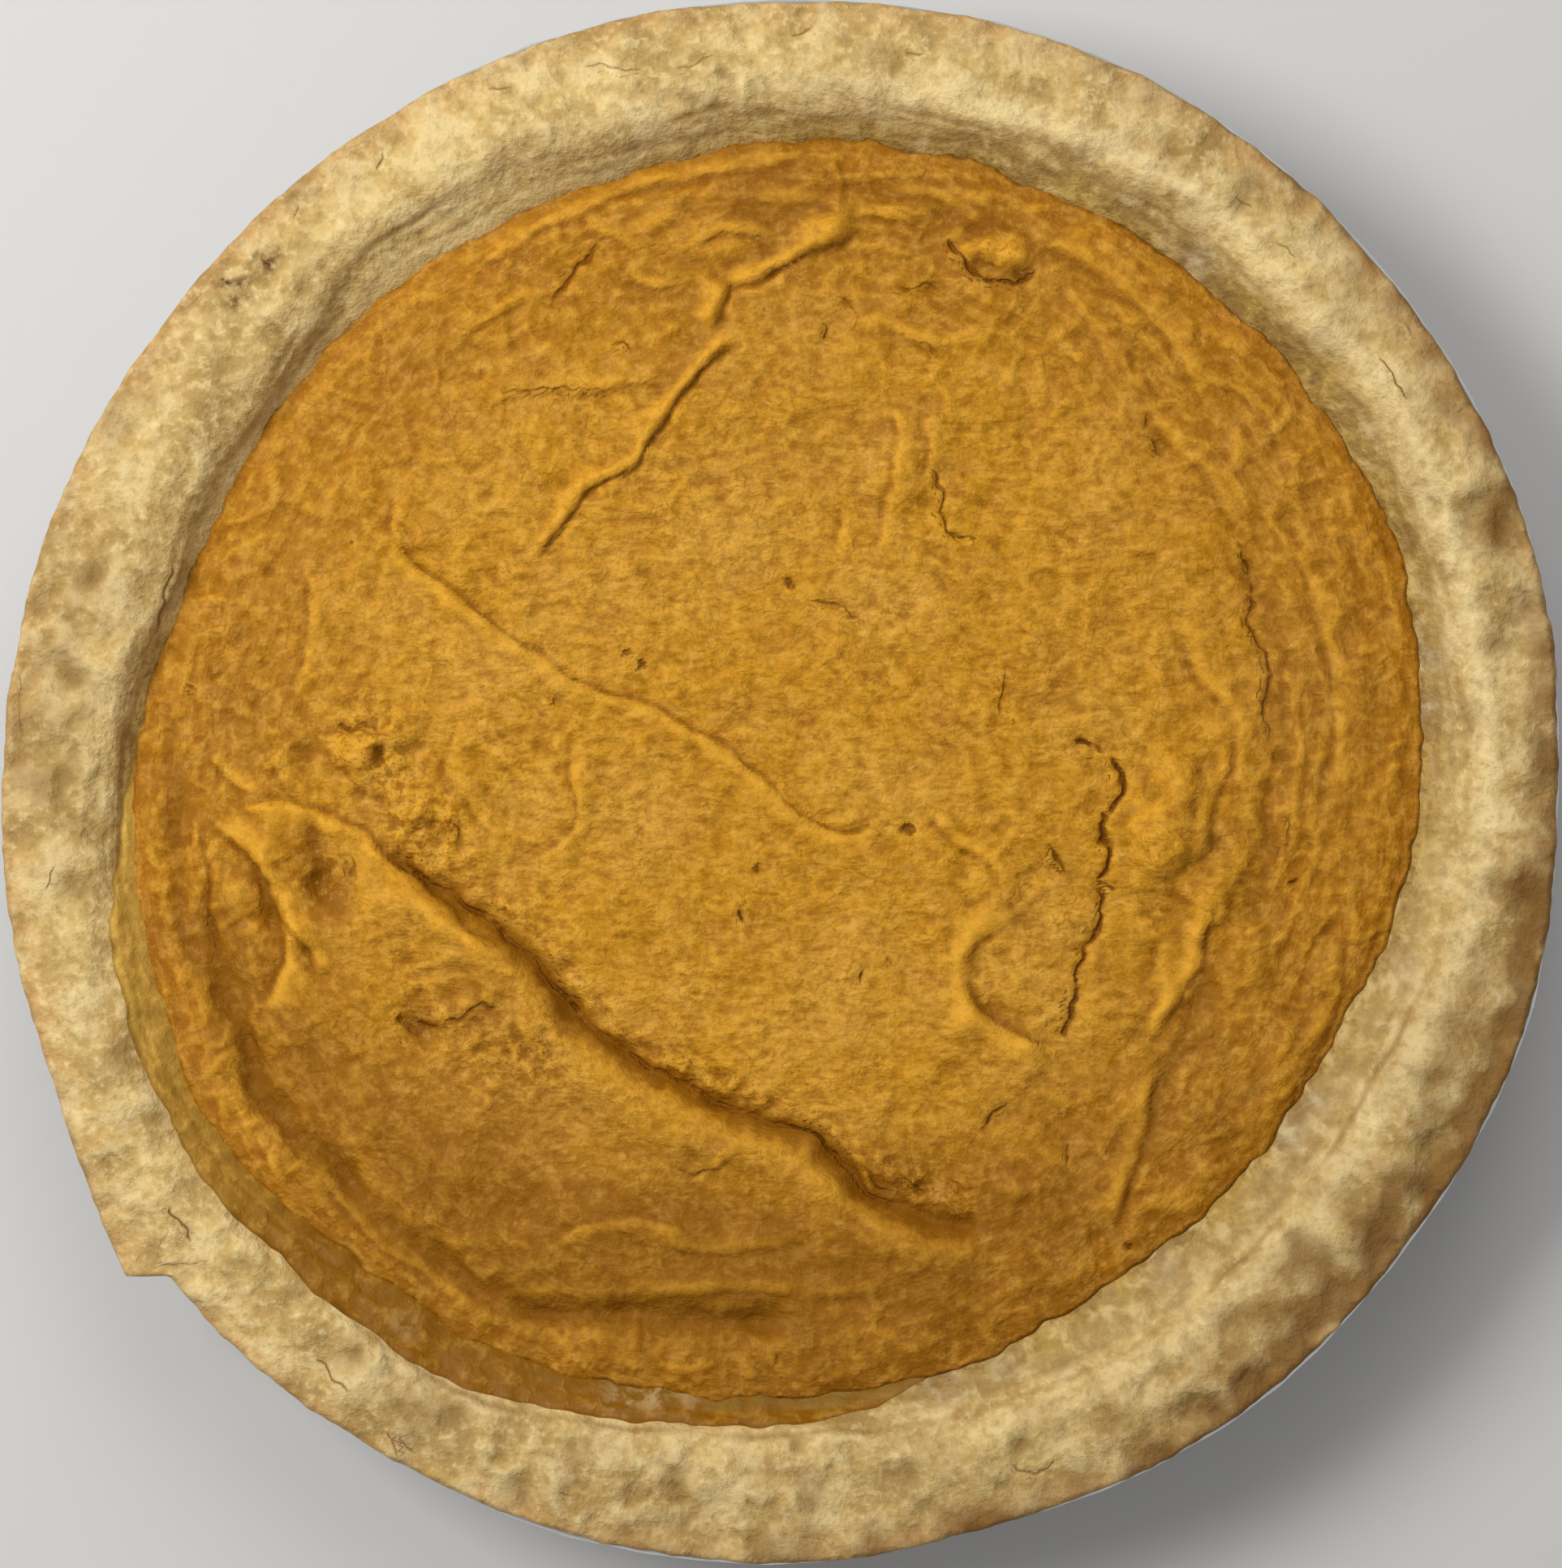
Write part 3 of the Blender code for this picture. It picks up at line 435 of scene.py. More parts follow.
# Cracks and tears: half width, depth, fade at the ends, route
CRACKS = [
    (0.9, 1.6, 1, [(46, 6.8), (49.2, 5.8), (50.8, 5)]),
    (0.8, 1.8, 2, [(51.8, 4.4), (53.4, 1.4), (52.9, -2.7), (51.2, -4.8)]),
    (1, 2.2, 1, [(51, -4.2), (50.4, -8), (51.7, -10.8), (50.9, -13.3), (49.9, -15.4)]),
    (0.6, 1.2, 1, [(49.8, -15.6), (52.6, -17)]),
    (0.7, 1.6, 2, [(49.6, -16), (50.1, -22.3), (47.6, -26), (46.4, -31.5), (45.4, -36.5), (44.4, -40)]),
    (0.5, 0.9, 5, [(71.1, 39.4), (73.5, 33.5), (74.2, 28), (73.5, 26), (76.9, 17.5), (76, 12.6),
        (76.8, 7)]),
    (0.5, 0.5, 3, [(80, -3.5), (79.3, -14)]),
    (0.6, 1.3, 1, [(79.2, -16), (81.5, -15.2)]),
    (0.5, 1, 2, [(6.2, 73.4), (7, 71.6), (4.8, 69.5)]),
    (0.5, 1, 2, [(23.3, 49.5), (25.1, 46.8), (24.7, 42.7), (26, 40), (28.7, 39.1), (31.5, 38.6)]),
    (0.5, 0.9, 2, [(57.6, 58.4), (56.7, 55.7)]),
    (0.5, 0.8, 3, [(57.6, 55.3), (60.8, 50.4)]),
    (0.5, 0.7, 3, [(3.7, 29), (6.8, 28.4), (9.1, 28.2), (11.2, 26.9), (12.1, 24.6)]),
    (0.7, 1.4, 1, [(-5.2, -13.6), (-3, -12.6)]),
    (0.7, 1.4, 1, [(-6.6, -19), (-6, -22.3)]),
    (0.6, 1, 1, [(12.6, -29.3), (12.2, -31.5)]),
    (0.6, 1, 1, [(16.8, -27), (17.6, -28.5)]),
    (0.5, 1.2, 2, [(41.8, -9.3), (44.8, -14.3)]),
    (0.5, 1.1, 2, [(30.7, -54.8), (33, -52), (35.7, -50.7)]),
    (0.5, 0.9, 1, [(44.6, -57), (44.4, -60)]),
    (0.5, 0.9, 3, [(34.9, 18.4), (34.2, 9.9)]),
    (0.5, 0.7, 1, [(36, 10.8), (37, 9)]),
    (0.5, 0.6, 2, [(37, 25), (39.4, 23)]),
    (0.8, 0.9, 3, [(-28.1, 86.2), (-33, 80.5), (-37, 75.5)]),
    (0.5, 0.9, 1, [(-35.7, 13.5), (-35.7, 12)]),
    (0.6, 0.9, 1, [(-94, 15.6), (-92.2, 14.9)]),
    (0.6, 0.8, 1, [(-90.4, 16.5), (-88.6, 17.4)]),
    (0.5, 0.7, 1, [(-68.2, 38.5), (-67.8, 37.5)]),
    (0.5, 0.8, 2, [(-27.2, 69), (-25.4, 69.4), (-23.6, 67.8)]),
    (0.5, 0.9, 1, [(-0.8, -90), (-0.7, -92)]),
    (0.7, 1.3, 2, [(25.6, 86), (27.9, 83), (30.6, 80.6), (34.3, 79.2), (37.6, 79.3), (40, 81.4)]),
    (1.4, 1.1, 1, [(-60.6, -36.6), (-58.4, -38.6), (-56, -37.6), (-54.4, -39.2)]),
    (0.7, 0.9, 2, [(-53.4, -38.2), (-50.2, -36.7), (-48, -35), (-44.4, -34.9)]),
    (0.8, 0.8, 2, [(12.5, -59.5), (14.5, -63.2), (17.5, -64.6)]),
    (0.7, 0.7, 2, [(18.5, -61.5), (21, -63.6), (24, -65)]),
    (0.6, 0.5, 2, [(25.5, -62), (28.5, -64), (31.5, -63.6)]),
    (0.9, 0.7, 1, [(-70.6, 8.2), (-69.4, 9.2), (-67.7, 8.2), (-66.2, 9.4), (-64.4, 9.9), (-63.4, 8.4)]),
    (0.9, 0.6, 1, [(-64.6, 5.8), (-63.4, 4.2), (-62.6, 2.4), (-61, 1.2)]),
    (0.5, 0.6, 1, [(-45.2, 7.4), (-44.2, 7), (-43.4, 7.6)]),
    (0.6, 0.7, 1, [(-52.4, -5.6), (-51.4, -7), (-50.8, -9)]),
    (0.7, 0.8, 2, [(-68.5, -11), (-67.5, -14), (-69, -17.5)]),
    (0.5, 0.7, 2, [(-17, -60.6), (-14, -61.4), (-9.6, -60.8)]),
    (0.5, 0.6, 4, [(-45.5, 61.5), (-38, 62.3), (-27, 62)]),
    (0.5, 0.6, 3, [(16.5, 78.8), (19.5, 78), (22.5, 78.6), (25.5, 77.6)]),
    (0.5, 0.5, 3, [(8.5, 77.6), (11.4, 74.5), (11, 71)]),
    (0.5, 0.5, 3, [(20.5, 70), (23.5, 68.5), (25.5, 66.8)])]
# Rounded lumps and hollows: x, y, height, reach
LUMPS = [
    (60.5, -8, 1.9, 5.5), (57.5, -15.5, 1.6, 4.2), (64.5, -1, 1.2, 3.2), (57.6, -4.5, 0.9, 3),
    (61.5, 2.5, 1, 2.6), (66, -6.5, 0.8, 2.4), (54.8, -19.5, 0.7, 2), (68, -17, 1, 3),
    (70.2, -9.3, 0.6, 3.2), (29.2, 83.9, 2.2, 1.4), (32.6, 84.6, 3, 1.8), (36.2, 84.4, 3.2, 2),
    (37.8, 82.9, 2.4, 1.3), (35.4, 82.2, 2.2, 1.3), (-67, 4.4, 2, 2.8), (-61, 3.6, 1.4, 2.2),
    (-57.5, -3.8, 1, 2.4), (-70.5, 5.6, 1, 1.8), (-63, 7.2, 0.9, 1.6), (-59.5, 0.6, -0.5, 1.8),
    (-64, -0.4, 1, 2), (-55, -7.5, -0.5, 1.9), (-53.5, -3, 0.8, 1.8), (-73.4, 2, -0.5, 2.2),
    (-52, -6, 0.6, 2.4), (-65, 6.9, 0.8, 1.4), (-68.8, 6.6, 0.8, 1.5), (-66.4, 2.2, 0.7, 1.6),
    (-75.7, 4.2, -0.5, 2.4), (-64.5, -3.1, -0.6, 2), (-74.4, -12.5, -1.5, 3.6), (-71.4, -16.5, -1.1, 3.2),
    (-57, -38.5, -0.9, 3.2), (-54, -36, 1.1, 1.6), (-50.5, -34.6, 1.3, 1.7), (-47, -33.6, 0.9, 1.3),
    (-57.9, -0.9, 0.5, 2), (-85.6, -17, 0.7, 2.6), (-83.6, -24, 0.7, 2.8), (19.8, -7.1, 1, 2.4),
    (19.8, -7.1, -1.4, 1.3), (8.6, 22.5, 0.9, 2.2), (6.5, 19.5, 0.6, 1.8), (1, 31.6, -1.4, 0.8),
    (-22.3, 18.9, -0.8, 0.8), (-24.7, 20.6, -0.7, 0.8), (54.4, -73, -0.9, 0.6), (24, -62.5, -0.8, 4.5),
    (20, 52, 0.6, 5), (-20, 40, 0.3, 14), (30, 15, 0.4, 16), (-20, -70, 0.6, 13), (70, -45, 0.5, 11),
    (-50, 55, 0.3, 14), (-46, -32, 0.8, 9), (-10, -35, -0.4, 15)]
# Broad soft valleys: half width, depth, fade at the ends, route
VALLEYS = [
    (2.5, 2.2, 14, [(-89, -14), (-89, -28), (-84, -42), (-80, -51.5), (-70, -61), (-63.4, -69.4),
        (-52.5, -77.5), (-40.5, -82.9), (-24.4, -83.4), (-10, -85), (8, -84.5)]),
    (2, 0.8, 9, [(-95.5, 16), (-96.2, 4), (-96, -10), (-94, -24), (-90, -33)]),
    (2.2, 0.8, 6, [(-73.5, -2.5), (-74.5, -10), (-72, -17.5), (-66, -24)]),
    (1.8, 0.7, 5, [(-84.5, -12), (-81.5, -18), (-80.5, -26)]),
    (2.6, 0.7, 7, [(31.5, -31), (33.5, -36), (39, -41.5)]),
    (2.4, 0.8, 7, [(72.5, 38), (78, 22), (79, 4), (76, -12), (73, -24)]),
    (2.2, 0.7, 6, [(52, -62), (58, -52), (62, -42), (69, -30)]),
    (3, 0.6, 9, [(-56, 8), (-48, 2), (-42, -8), (-38, -20)]),
    (3, 0.7, 9, [(-30, 80), (-16, 76), (-14, 66), (-24, 60)]),
    (2.4, 0.5, 8, [(-4, 92), (14, 93.5), (32, 88), (48, 79)])]
# Flat-topped lobes with steep rims: x, y, height, reach
LOBES = [
    (59.6, -9.2, 2, 5.4), (61.4, 1.2, 1.5, 4.4), (67.6, -19, 1.2, 2.8), (55, -22.5, 0.9, 3.6),
    (71, -13, 1, 3), (33.5, -15.5, 1, 4), (24.5, -12, 0.9, 3.4), (-67, 4.8, 1.3, 3.6),
    (-58, -6, 1.2, 3.2), (-60.5, 9, 0.9, 2.8), (-49, 3, 0.7, 4.4), (-45.5, 14, 0.6, 5),
    (-52, 20, 0.5, 4.2), (8, 24, 0.6, 3.2), (38, -42.5, 0.6, 3.8), (18, 47, 0.5, 4), (28, 34, 0.5, 4.6),
    (46, 44, 0.5, 5), (-30, 46, 0.5, 4.4), (2, 62, 0.5, 4), (-70, 28, 0.5, 4), (70, 52, 0.6, 5)]
# Areas where the skin has few wrinkles: x, y, strength, reach
QUIET = [
    (-40, -58, 1, 20), (-5, -70, 1, 20), (-65, -50, 0.7, 14), (20, -40, 0.6, 18), (-20, -20, 0.5, 22),
    (30, -78, 0.8, 16), (60, -50, 0.5, 14), (0, 10, 0.5, 24)]
# Crumbly places where the skin has torn or bubbled: x, y, reach
RUBBLE = [
    (-66, 7, 6.5), (-61, 1, 5.5), (-55, -6, 5), (-73, -15, 4.5), (-56, -37, 5), (-46, -43, 6),
    (-38, -44, 4.5), (15, -61.5, 4), (22, -64.5, 3.6), (29, -67, 3), (33.5, 83, 3.6), (-20, -44, 3.5),
    (-10, -48, 3.5), (-56, -10, 4), (-3, -51, 3), (-79.5, 3.5, 3)]
# Browned places of the skin, whose strongest parts also get painted shade: x, y, strength, reach
BROWNING_AND_SHADE = [
    (-86, -22, 0.8, 13), (-80, -45, 1.1, 15), (-62, -66, 1.2, 16), (-38, -78, 1.4, 17),
    (-8, -82, 1.7, 18), (22, -80, 1.4, 18), (46, -72, 0.9, 18), (68, -52, 0.8, 20), (80, -28, 0.5, 18),
    (88, 2, 0.5, 18), (86, 30, 0.5, 16), (74, 56, 0.5, 15), (54, 76, 0.5, 16), (26, 92, 0.9, 15),
    (-4, 95, 1.1, 13), (-34, 84, 0.6, 14), (-62, 64, 0.6, 14), (2, 60, 0.4, 26), (40, 30, 0.2, 26),
    (-80, 16, 0.4, 12), (-74, -13, 1, 4.4), (-71, -17, 0.8, 3.4), (-82, 34, 0.3, 15), (-46, -33, 0.7, 8),
    (17, -62.5, 0.8, 5), (-57, -37.6, 1, 3), (-90, 8, 0.5, 12), (-48, -50, 0.5, 20), (-14, -68, 0.4, 20),
    (34, -60, 0.2, 14), (-20, -6, -0.4, 34), (10, 30, -0.2, 34), (-75.7, 4.2, 0.4, 2.8),
    (-96, -4, 0.5, 7), (-94, -26, 0.6, 8), (-88, -36, 0.5, 6)]
# Fine wrinkles run round the pie up to this far inside the border, fading over this much towards the middle,
# and most strongly at this azimuth
RING_ZONE = 44.0
RING_FADE = 24.0
RING_AZIMUTH = 20.0
# Lumps higher and narrower than this get the ridges' painted highlight, and hollows narrower than this are
# pits with painted shade
HEAP_HEIGHT = 0.75
HEAP_REACH = 3.1
PIT_REACH = 1.7
# The offset from a line is kept up to the first of these, and the line's depth within the second
LINE_REACH = 3.0
LINE_NEAR = 2.2
# Noises that add up: height, size, seed
BORDER_WANDER = [(1.1, 8.0, 51), (0.6, 3.0, 52)]
SWELLS = [(0.6, 34.0, 41), (0.5, 15.0, 42)]
RING_SHIFT = [(1.6, 11.0, 62), (0.7, 4.0, 63)]
BORDER_FRAY = [(0.5, 2.6, 29)]
# Noises that move a place: reach, size, seed for x, seed for y
SKIN_BEND = [(0.8, 9.0, 31, 32), (0.4, 3.0, 33, 34)]
SKIN_JAG = [(1.1, 2.4, 37, 38)]
SKIN_SWIRL = [(2.6, 9.0, 44, 45), (1.1, 4.0, 46, 47)]


def filling_level(azimuth):
    """Height of the filling's edge: the level, with a bell-shaped rise where it has run up the crust."""
    off = np.mod(azimuth - FILLING_LEFT_AZIMUTH + 180.0, 360.0) - 180.0
    return FILLING_LEVEL + FILLING_LEFT_RISE * bell(off / FILLING_LEFT_SPREAD)


def filling_brim(azimuth):
    """Radius of the line where the filling meets the crust: its stations, and noise of two sizes."""
    around = (100.0 * np.cos(np.radians(azimuth)), 100.0 * np.sin(np.radians(azimuth)))
    return ring_radius(azimuth, FILLING_EDGE) + grains(*around, BORDER_WANDER)


def disc_grid(count):
    """Concentric map of a square grid onto a disc: a square ring at distance u from the middle becomes the
    circle of radius u, and its eighths are spread evenly in azimuth. Returns radius share and azimuth."""
    side = np.linspace(-1.0, 1.0, count + 1)
    u, v = np.meshgrid(side, side)
    wide = np.abs(u) > np.abs(v)
    safe_u = np.where(u == 0.0, 1.0, u)
    safe_v = np.where(v == 0.0, 1.0, v)
    angle = np.where(wide, 0.25 * np.pi * v / safe_u, 0.5 * np.pi - 0.25 * np.pi * u / safe_v)
    signed = np.where(wide, u, v)
    angle = angle + np.where(signed < 0.0, np.pi, 0.0)
    return np.abs(signed), np.degrees(angle)


def nearest_line(line, strength, side, weight):
    """Keeps, at each point, the offset from the nearest line so far and that line's strength close to it."""
    closer = np.abs(side) < np.abs(line)
    strength[:] = np.where(closer, np.where(np.abs(side) < LINE_NEAR, weight, 0.0), strength)
    line[:] = np.where(closer, np.clip(side, -LINE_REACH, LINE_REACH), line)


def wrinkled(noise):
    """Low ridges with a furrow on one side, along the lines where noise is zero."""
    return bell(noise / 0.13) - 0.7 * bell((noise + 0.20) / 0.10)


def crease(x, y, bend_x, bend_y, marks):
    """Height added by the long crease: a smooth lip on the left of its route, a jagged cut whose width
    varies, and a crumbly shoulder on its right, all bell-shaped across it. Also how crumbly each point is."""
    side, fade = offset_to_route(bend_x, bend_y, smooth_route(CREASE, 1.5), CREASE_FADE)
    crest, rise, inner, outer = CREASE_LIP
    spread = np.where(side < crest, inner, outer)
    height = rise * fade * bell((side - crest) / spread) * (1.0 + 0.6 * grain(x, y, 14.0, 57))
    sink, right, left = CREASE_VALLEY
    height -= sink * fade * bell(side / np.where(side < 0.0, right, left))
    half_width, depth = CREASE_GAP
    offset = (side + 0.9 * grain(x, y, 4.5, 58)) / (half_width * (1.0 + 1.2 * grain(x, y, 5.0, 59)))
    height -= depth * fade * bell(offset)
    away, heap, reach = CREASE_CRUMBS
    crumbs = fade * bell((side + away) / reach)
    closed = np.clip((CREASE_CLOSES - x) / 12.0, 0.1, 1.0)
    strength = closed * fade * np.clip(0.7 + 0.9 * grain(x, y, 8.0, 65), 0.15, 0.9)
    nearest_line(marks["crack"], marks["crack_depth"], offset, strength)
    # The lip mark is also where the material lays painted shade on the crease's slopes, on both sides of its
    # gap.
    marks["lip"] = fade * bell(side / np.where(side < 0.0, 1.5, 3.3))
    return height + heap * crumbs, crumbs


def skin(x, y, share, azimuth, edge):
    """Height of the skin and the marks of its material. A rounded shoulder and a low dome carry the wrinkles,
    each a bell-shaped ridge with a furrow on one side, the crease, the cracks, narrow bell-shaped cuts, the
    lumps, and noise of several sizes, the finest folded to make short creases."""
    inward = (1.0 - share) * edge
    border = held(inward / BORDER_WIDTH)
    height = FILLING_LEVEL + held(share * 1.6) ** 2 * (filling_level(azimuth) - FILLING_LEVEL)
    height += SHOULDER_RISE * (1.0 - bell(inward / SHOULDER_WIDTH))
    height += DOME_RISE * (1.0 - (share * edge / PAN_BASE) ** 2) * held(inward / SHOULDER_WIDTH)
    marks = {name: np.zeros_like(x) for name in ("ridge", "crack_depth", "furrow_depth")}
    marks["crack"] = np.full_like(x, LINE_REACH)
    marks["furrow"] = np.full_like(x, LINE_REACH)
    bend_x, bend_y = jostled(x, y, SKIN_BEND)
    jag_x, jag_y = jostled(x, y, SKIN_JAG)
    for half_width, rise, furrow, fade_length, points in WRINKLES:
        side, fade = offset_to_route(bend_x, bend_y, smooth_route(points, 2.0), fade_length)
        wide = half_width * (1.0 + 0.9 * grain(x, y, 6.0, 35))
        hump = fade * bell(side / (wide * np.where(side > 0.0, 1.7, 0.9)))
        height += WRINKLE_SHARE * border * rise * hump * (1.0 + 1.2 * grain(x, y, 5.0, 36))
        offset = (side + 1.25 * wide) / (0.55 * wide)
        height -= FURROW_SHARE * border * fade * furrow * bell(offset)
        marks["ridge"] = np.maximum(marks["ridge"], hump * min(rise, 1.2))
        nearest_line(marks["furrow"], marks["furrow_depth"], offset, fade * min(1.0, 0.9 * furrow))
    ditch = np.zeros_like(x)
    for half_width, depth, fade_length, points in VALLEYS:
        side, fade = offset_to_route(x, y, smooth_route(points, 4.0), fade_length)
        hollow = fade * bell((side + 1.8 * grain(x, y, 8.0, 66)) / half_width)
        height -= depth * hollow * (1.0 + grain(x, y, 9.0, 67))
        ditch = np.maximum(ditch, hollow * min(1.0, 0.5 * depth))
    for half_width, depth, fade_length, points in CRACKS:
        side, fade = offset_to_route(jag_x, jag_y, smooth_route(points, 1.5), fade_length)
        offset = side / (CRACK_WIDTH * half_width * (1.0 + 0.9 * grain(x, y, 3.5, 39)))
        height -= CRACK_SHARE * depth * fade * bell(offset)
        weight = np.sqrt(fade) * min(1.0, 0.2 + 0.45 * depth)
        nearest_line(marks["crack"], marks["crack_depth"], offset, weight)
    folded, crumbs = crease(x, y, bend_x, bend_y, marks)
    height += folded + border * bells(bend_x, bend_y, LUMPS)
    for at_x, at_y, rise, reach in LOBES:
        uneven_reach = reach * (1.0 + 0.7 * grain(x, y, 5.0, 69))
        height += border * rise * bell(((bend_x - at_x) ** 2 + (bend_y - at_y) ** 2) / uneven_reach**2)
    rubble = bells(x, y, [(at_x, at_y, 1.0, reach) for at_x, at_y, reach in RUBBLE]) + 0.7 * crumbs
    rubble = held(rubble * (1.0 + 0.8 * grain(x, y, 6.0, 56)))
    cobbles = 1.0 - 3.0 * np.abs(grain(x + 1.4 * grain(x, y, 3.0, 54), y, 4.4, 30))
    height += rubble * (0.85 * cobbles + 0.55 * grain(x, y, 2.0, 53))
    height += border * (grains(x, y, SWELLS) + 0.75 * grain(bend_x, bend_y, 7.0, 43))
    # The finest wrinkles run level in the middle and round the pie near its border, but not over the ridges
    swirl_x, swirl_y = jostled(x, y, SKIN_SWIRL)
    calm = (1.0 - 0.75 * held(marks["ridge"])) * (1.0 - 0.8 * marks["lip"])
    patchy = np.clip(0.6 + 1.3 * grain(x, y, 14.0, 40), 0.1, 1.0)
    calm *= border * (1.0 - 0.65 * held(bells(x, y, QUIET)))
    height += calm * 0.50 * grain(swirl_x, 1.2 * swirl_y, 3.4, 50) + border * 0.13 * grain(x, y, 1.8, 49)
    height += calm * patchy * 0.36 * wrinkled(grain(swirl_x, 1.4 * swirl_y, 8.0, 48))
    height += calm * (1.1 - patchy) * 0.26 * wrinkled(grain(1.5 * swirl_x, swirl_y, 5.5, 64))
    turned = azimuth + 2.5 * grain(x, y, 8.0, 61)
    far = share * edge + grains(x, y, RING_SHIFT)
    ringed = held((RING_ZONE - inward) / RING_FADE)
    easterly = np.clip(0.55 + 0.45 * np.cos(np.radians(azimuth - RING_AZIMUTH)), 0.15, 1.0)
    height += calm * ringed * easterly * 0.40 * wrinkled(grain(turned / 2.0, far, 6.0, 68, 30))
    heaps = [row for row in LUMPS if row[2] > HEAP_HEIGHT and row[3] < HEAP_REACH]
    marks["ridge"] = np.maximum(marks["ridge"], held(0.5 * bells(bend_x, bend_y, heaps)))
    marks["rubble"] = rubble
    pits = [(at_x, at_y, 1.0, reach) for at_x, at_y, rise, reach in LUMPS if rise < 0 and reach < PIT_REACH]
    marks["pit"] = bells(jag_x, jag_y, pits)
    # Valleys add to this mark, so the material browns them and also darkens them as painted shade.
    marks["browning_and_shade"] = bells(x, y, BROWNING_AND_SHADE) * (0.9 + 0.6 * grain(x, y, 10.0, 55)) + 1.1 * ditch
    marks["inward"] = inward
    return height, marks


def blurred(values, reach):
    """Mean of each point's neighbours on the grid, as two running means, one along each side."""
    for axis in (0, 1):
        pad = [(reach + 1, reach) if k == axis else (0, 0) for k in (0, 1)]
        total = np.cumsum(np.pad(values, pad, mode="edge"), axis=axis)
        ahead = np.take(total, range(2 * reach + 1, total.shape[axis]), axis=axis)
        behind = np.take(total, range(0, total.shape[axis] - 2 * reach - 1), axis=axis)
        values = (ahead - behind) / (2 * reach + 1)
    return values


def extended(marks, count):
    """The same marks with zeros for the hidden points that follow, up to count points."""
    return {name: np.pad(values.ravel(), (0, count - values.size)) for name, values in marks.items()}


share, azimuth = disc_grid(FILLING_GRID)
angle = np.radians(azimuth)
edge = filling_brim(azimuth)
edge = edge + grains(edge * np.cos(angle), edge * np.sin(angle), BORDER_FRAY)
x = (share * edge * np.cos(angle)).ravel()
y = (share * edge * np.sin(angle)).ravel()
height, marks = skin(x, y, share.ravel(), azimuth.ravel(), edge.ravel())
sheet = height.reshape(share.shape)
# The hollow mark: how far the skin stands above or sinks below its blurred height. The material paints
# highlight where it stands above and shade where it sinks below.
marks["hollow"] = (sheet - blurred(sheet, 2)) / 0.16 + (sheet - blurred(sheet, 8)) / 0.9
numbers = np.arange(share.size).reshape(share.shape)
faces = [sheet_faces(numbers)]
ring = sheet_border(numbers)
brim = edge.ravel()[ring]
level = height[ring]
below = [(brim - 0.2, level - 0.8), (0.5 * (brim + FILLING_FOOT[0]), 0.5 * (level + FILLING_FOOT[1])),
         FILLING_FOOT, (FILLING_BASE_RADIUS, FILLING_BASE)]
points = np.column_stack((x, y, height))
points = closed_by_rings(points, faces, ring, angle.ravel()[ring], below, FILLING_BASE, True)
filling = mesh_piece("baked_filling", points, faces, extended(marks, len(points)))

SKIN_GOLD = colour(202, 142, 26)
SKIN_LIGHT = colour(224, 170, 72)
SKIN_ROSE = colour(186, 124, 46)
SKIN_RIDGE_HIGHLIGHT = colour(224, 162, 46)
SKIN_BROWN = colour(144, 90, 12)
SKIN_EDGE = colour(176, 114, 14)
SKIN_LIP_SHADE = colour(140, 84, 0)
SKIN_DEEP = colour(124, 74, 0)
SKIN_CRACK_SHADE = colour(116, 64, 4)
SKIN_SHADE = colour(128, 80, 6)
graph, shader = new_material(filling, "baked_skin")
place = graph.place()
swirled = place.warped(9.0, 4.0).warped(2.6, 1.6)
stretched = graph.place((1.0, 1.5, 1.0)).warped(8.0, 4.0).warped(2.0, 1.6)
broad = place.noise(24.0, 4.0, 0.6)
patches = place.warped(10.0, 6.0).noise(8.0, 3.0, 0.6)
mottle = swirled.noise(3.0, 4.0, 0.62)
crumb = place.noise(1.7, 3.0, 0.6)
speck = place.noise(0.55, 2.0, 0.6)
inward, browning_and_shade, ridge, lip, rubble, hollow = (
    graph.mark(name) for name in ("inward", "browning_and_shade", "ridge", "lip", "rubble", "hollow"))
near_edge = inward.fall(12.0, 40.0)
round_strokes = place.ring_place(30.0).warped(5.0, 2.4).noise(1.5, 3.0, 0.6)
level_strokes = graph.place((0.5, 1.2, 1.0)).warped(5.0, 3.0).noise(1.4, 3.0, 0.6)
strokes = round_strokes * near_edge + level_strokes * (1.0 - near_edge)
patchy = place.noise(7.0, 2.0).clamp(0.36, 0.60)
pads = stretched.pillows(4.2)
small_pads = swirled.pillows(2.0)
wobble = (place.noise(1.1, 2.0) - 0.5) * 1.3
cut = graph.line("crack", wobble, 0.15, 0.8) * place.noise(2.2, 1.0).clamp(0.25, 0.48)
furrow = graph.line("furrow", wobble, 0.1, 1.1)
pit = (graph.mark("pit") + (place.noise(1.0, 3.0) - 0.5) * 1.2).clamp(0.35, 0.8)
calm = (1.0 - ridge.clamp(0.1, 0.9) * 0.55) * (1.0 - lip * 0.6)
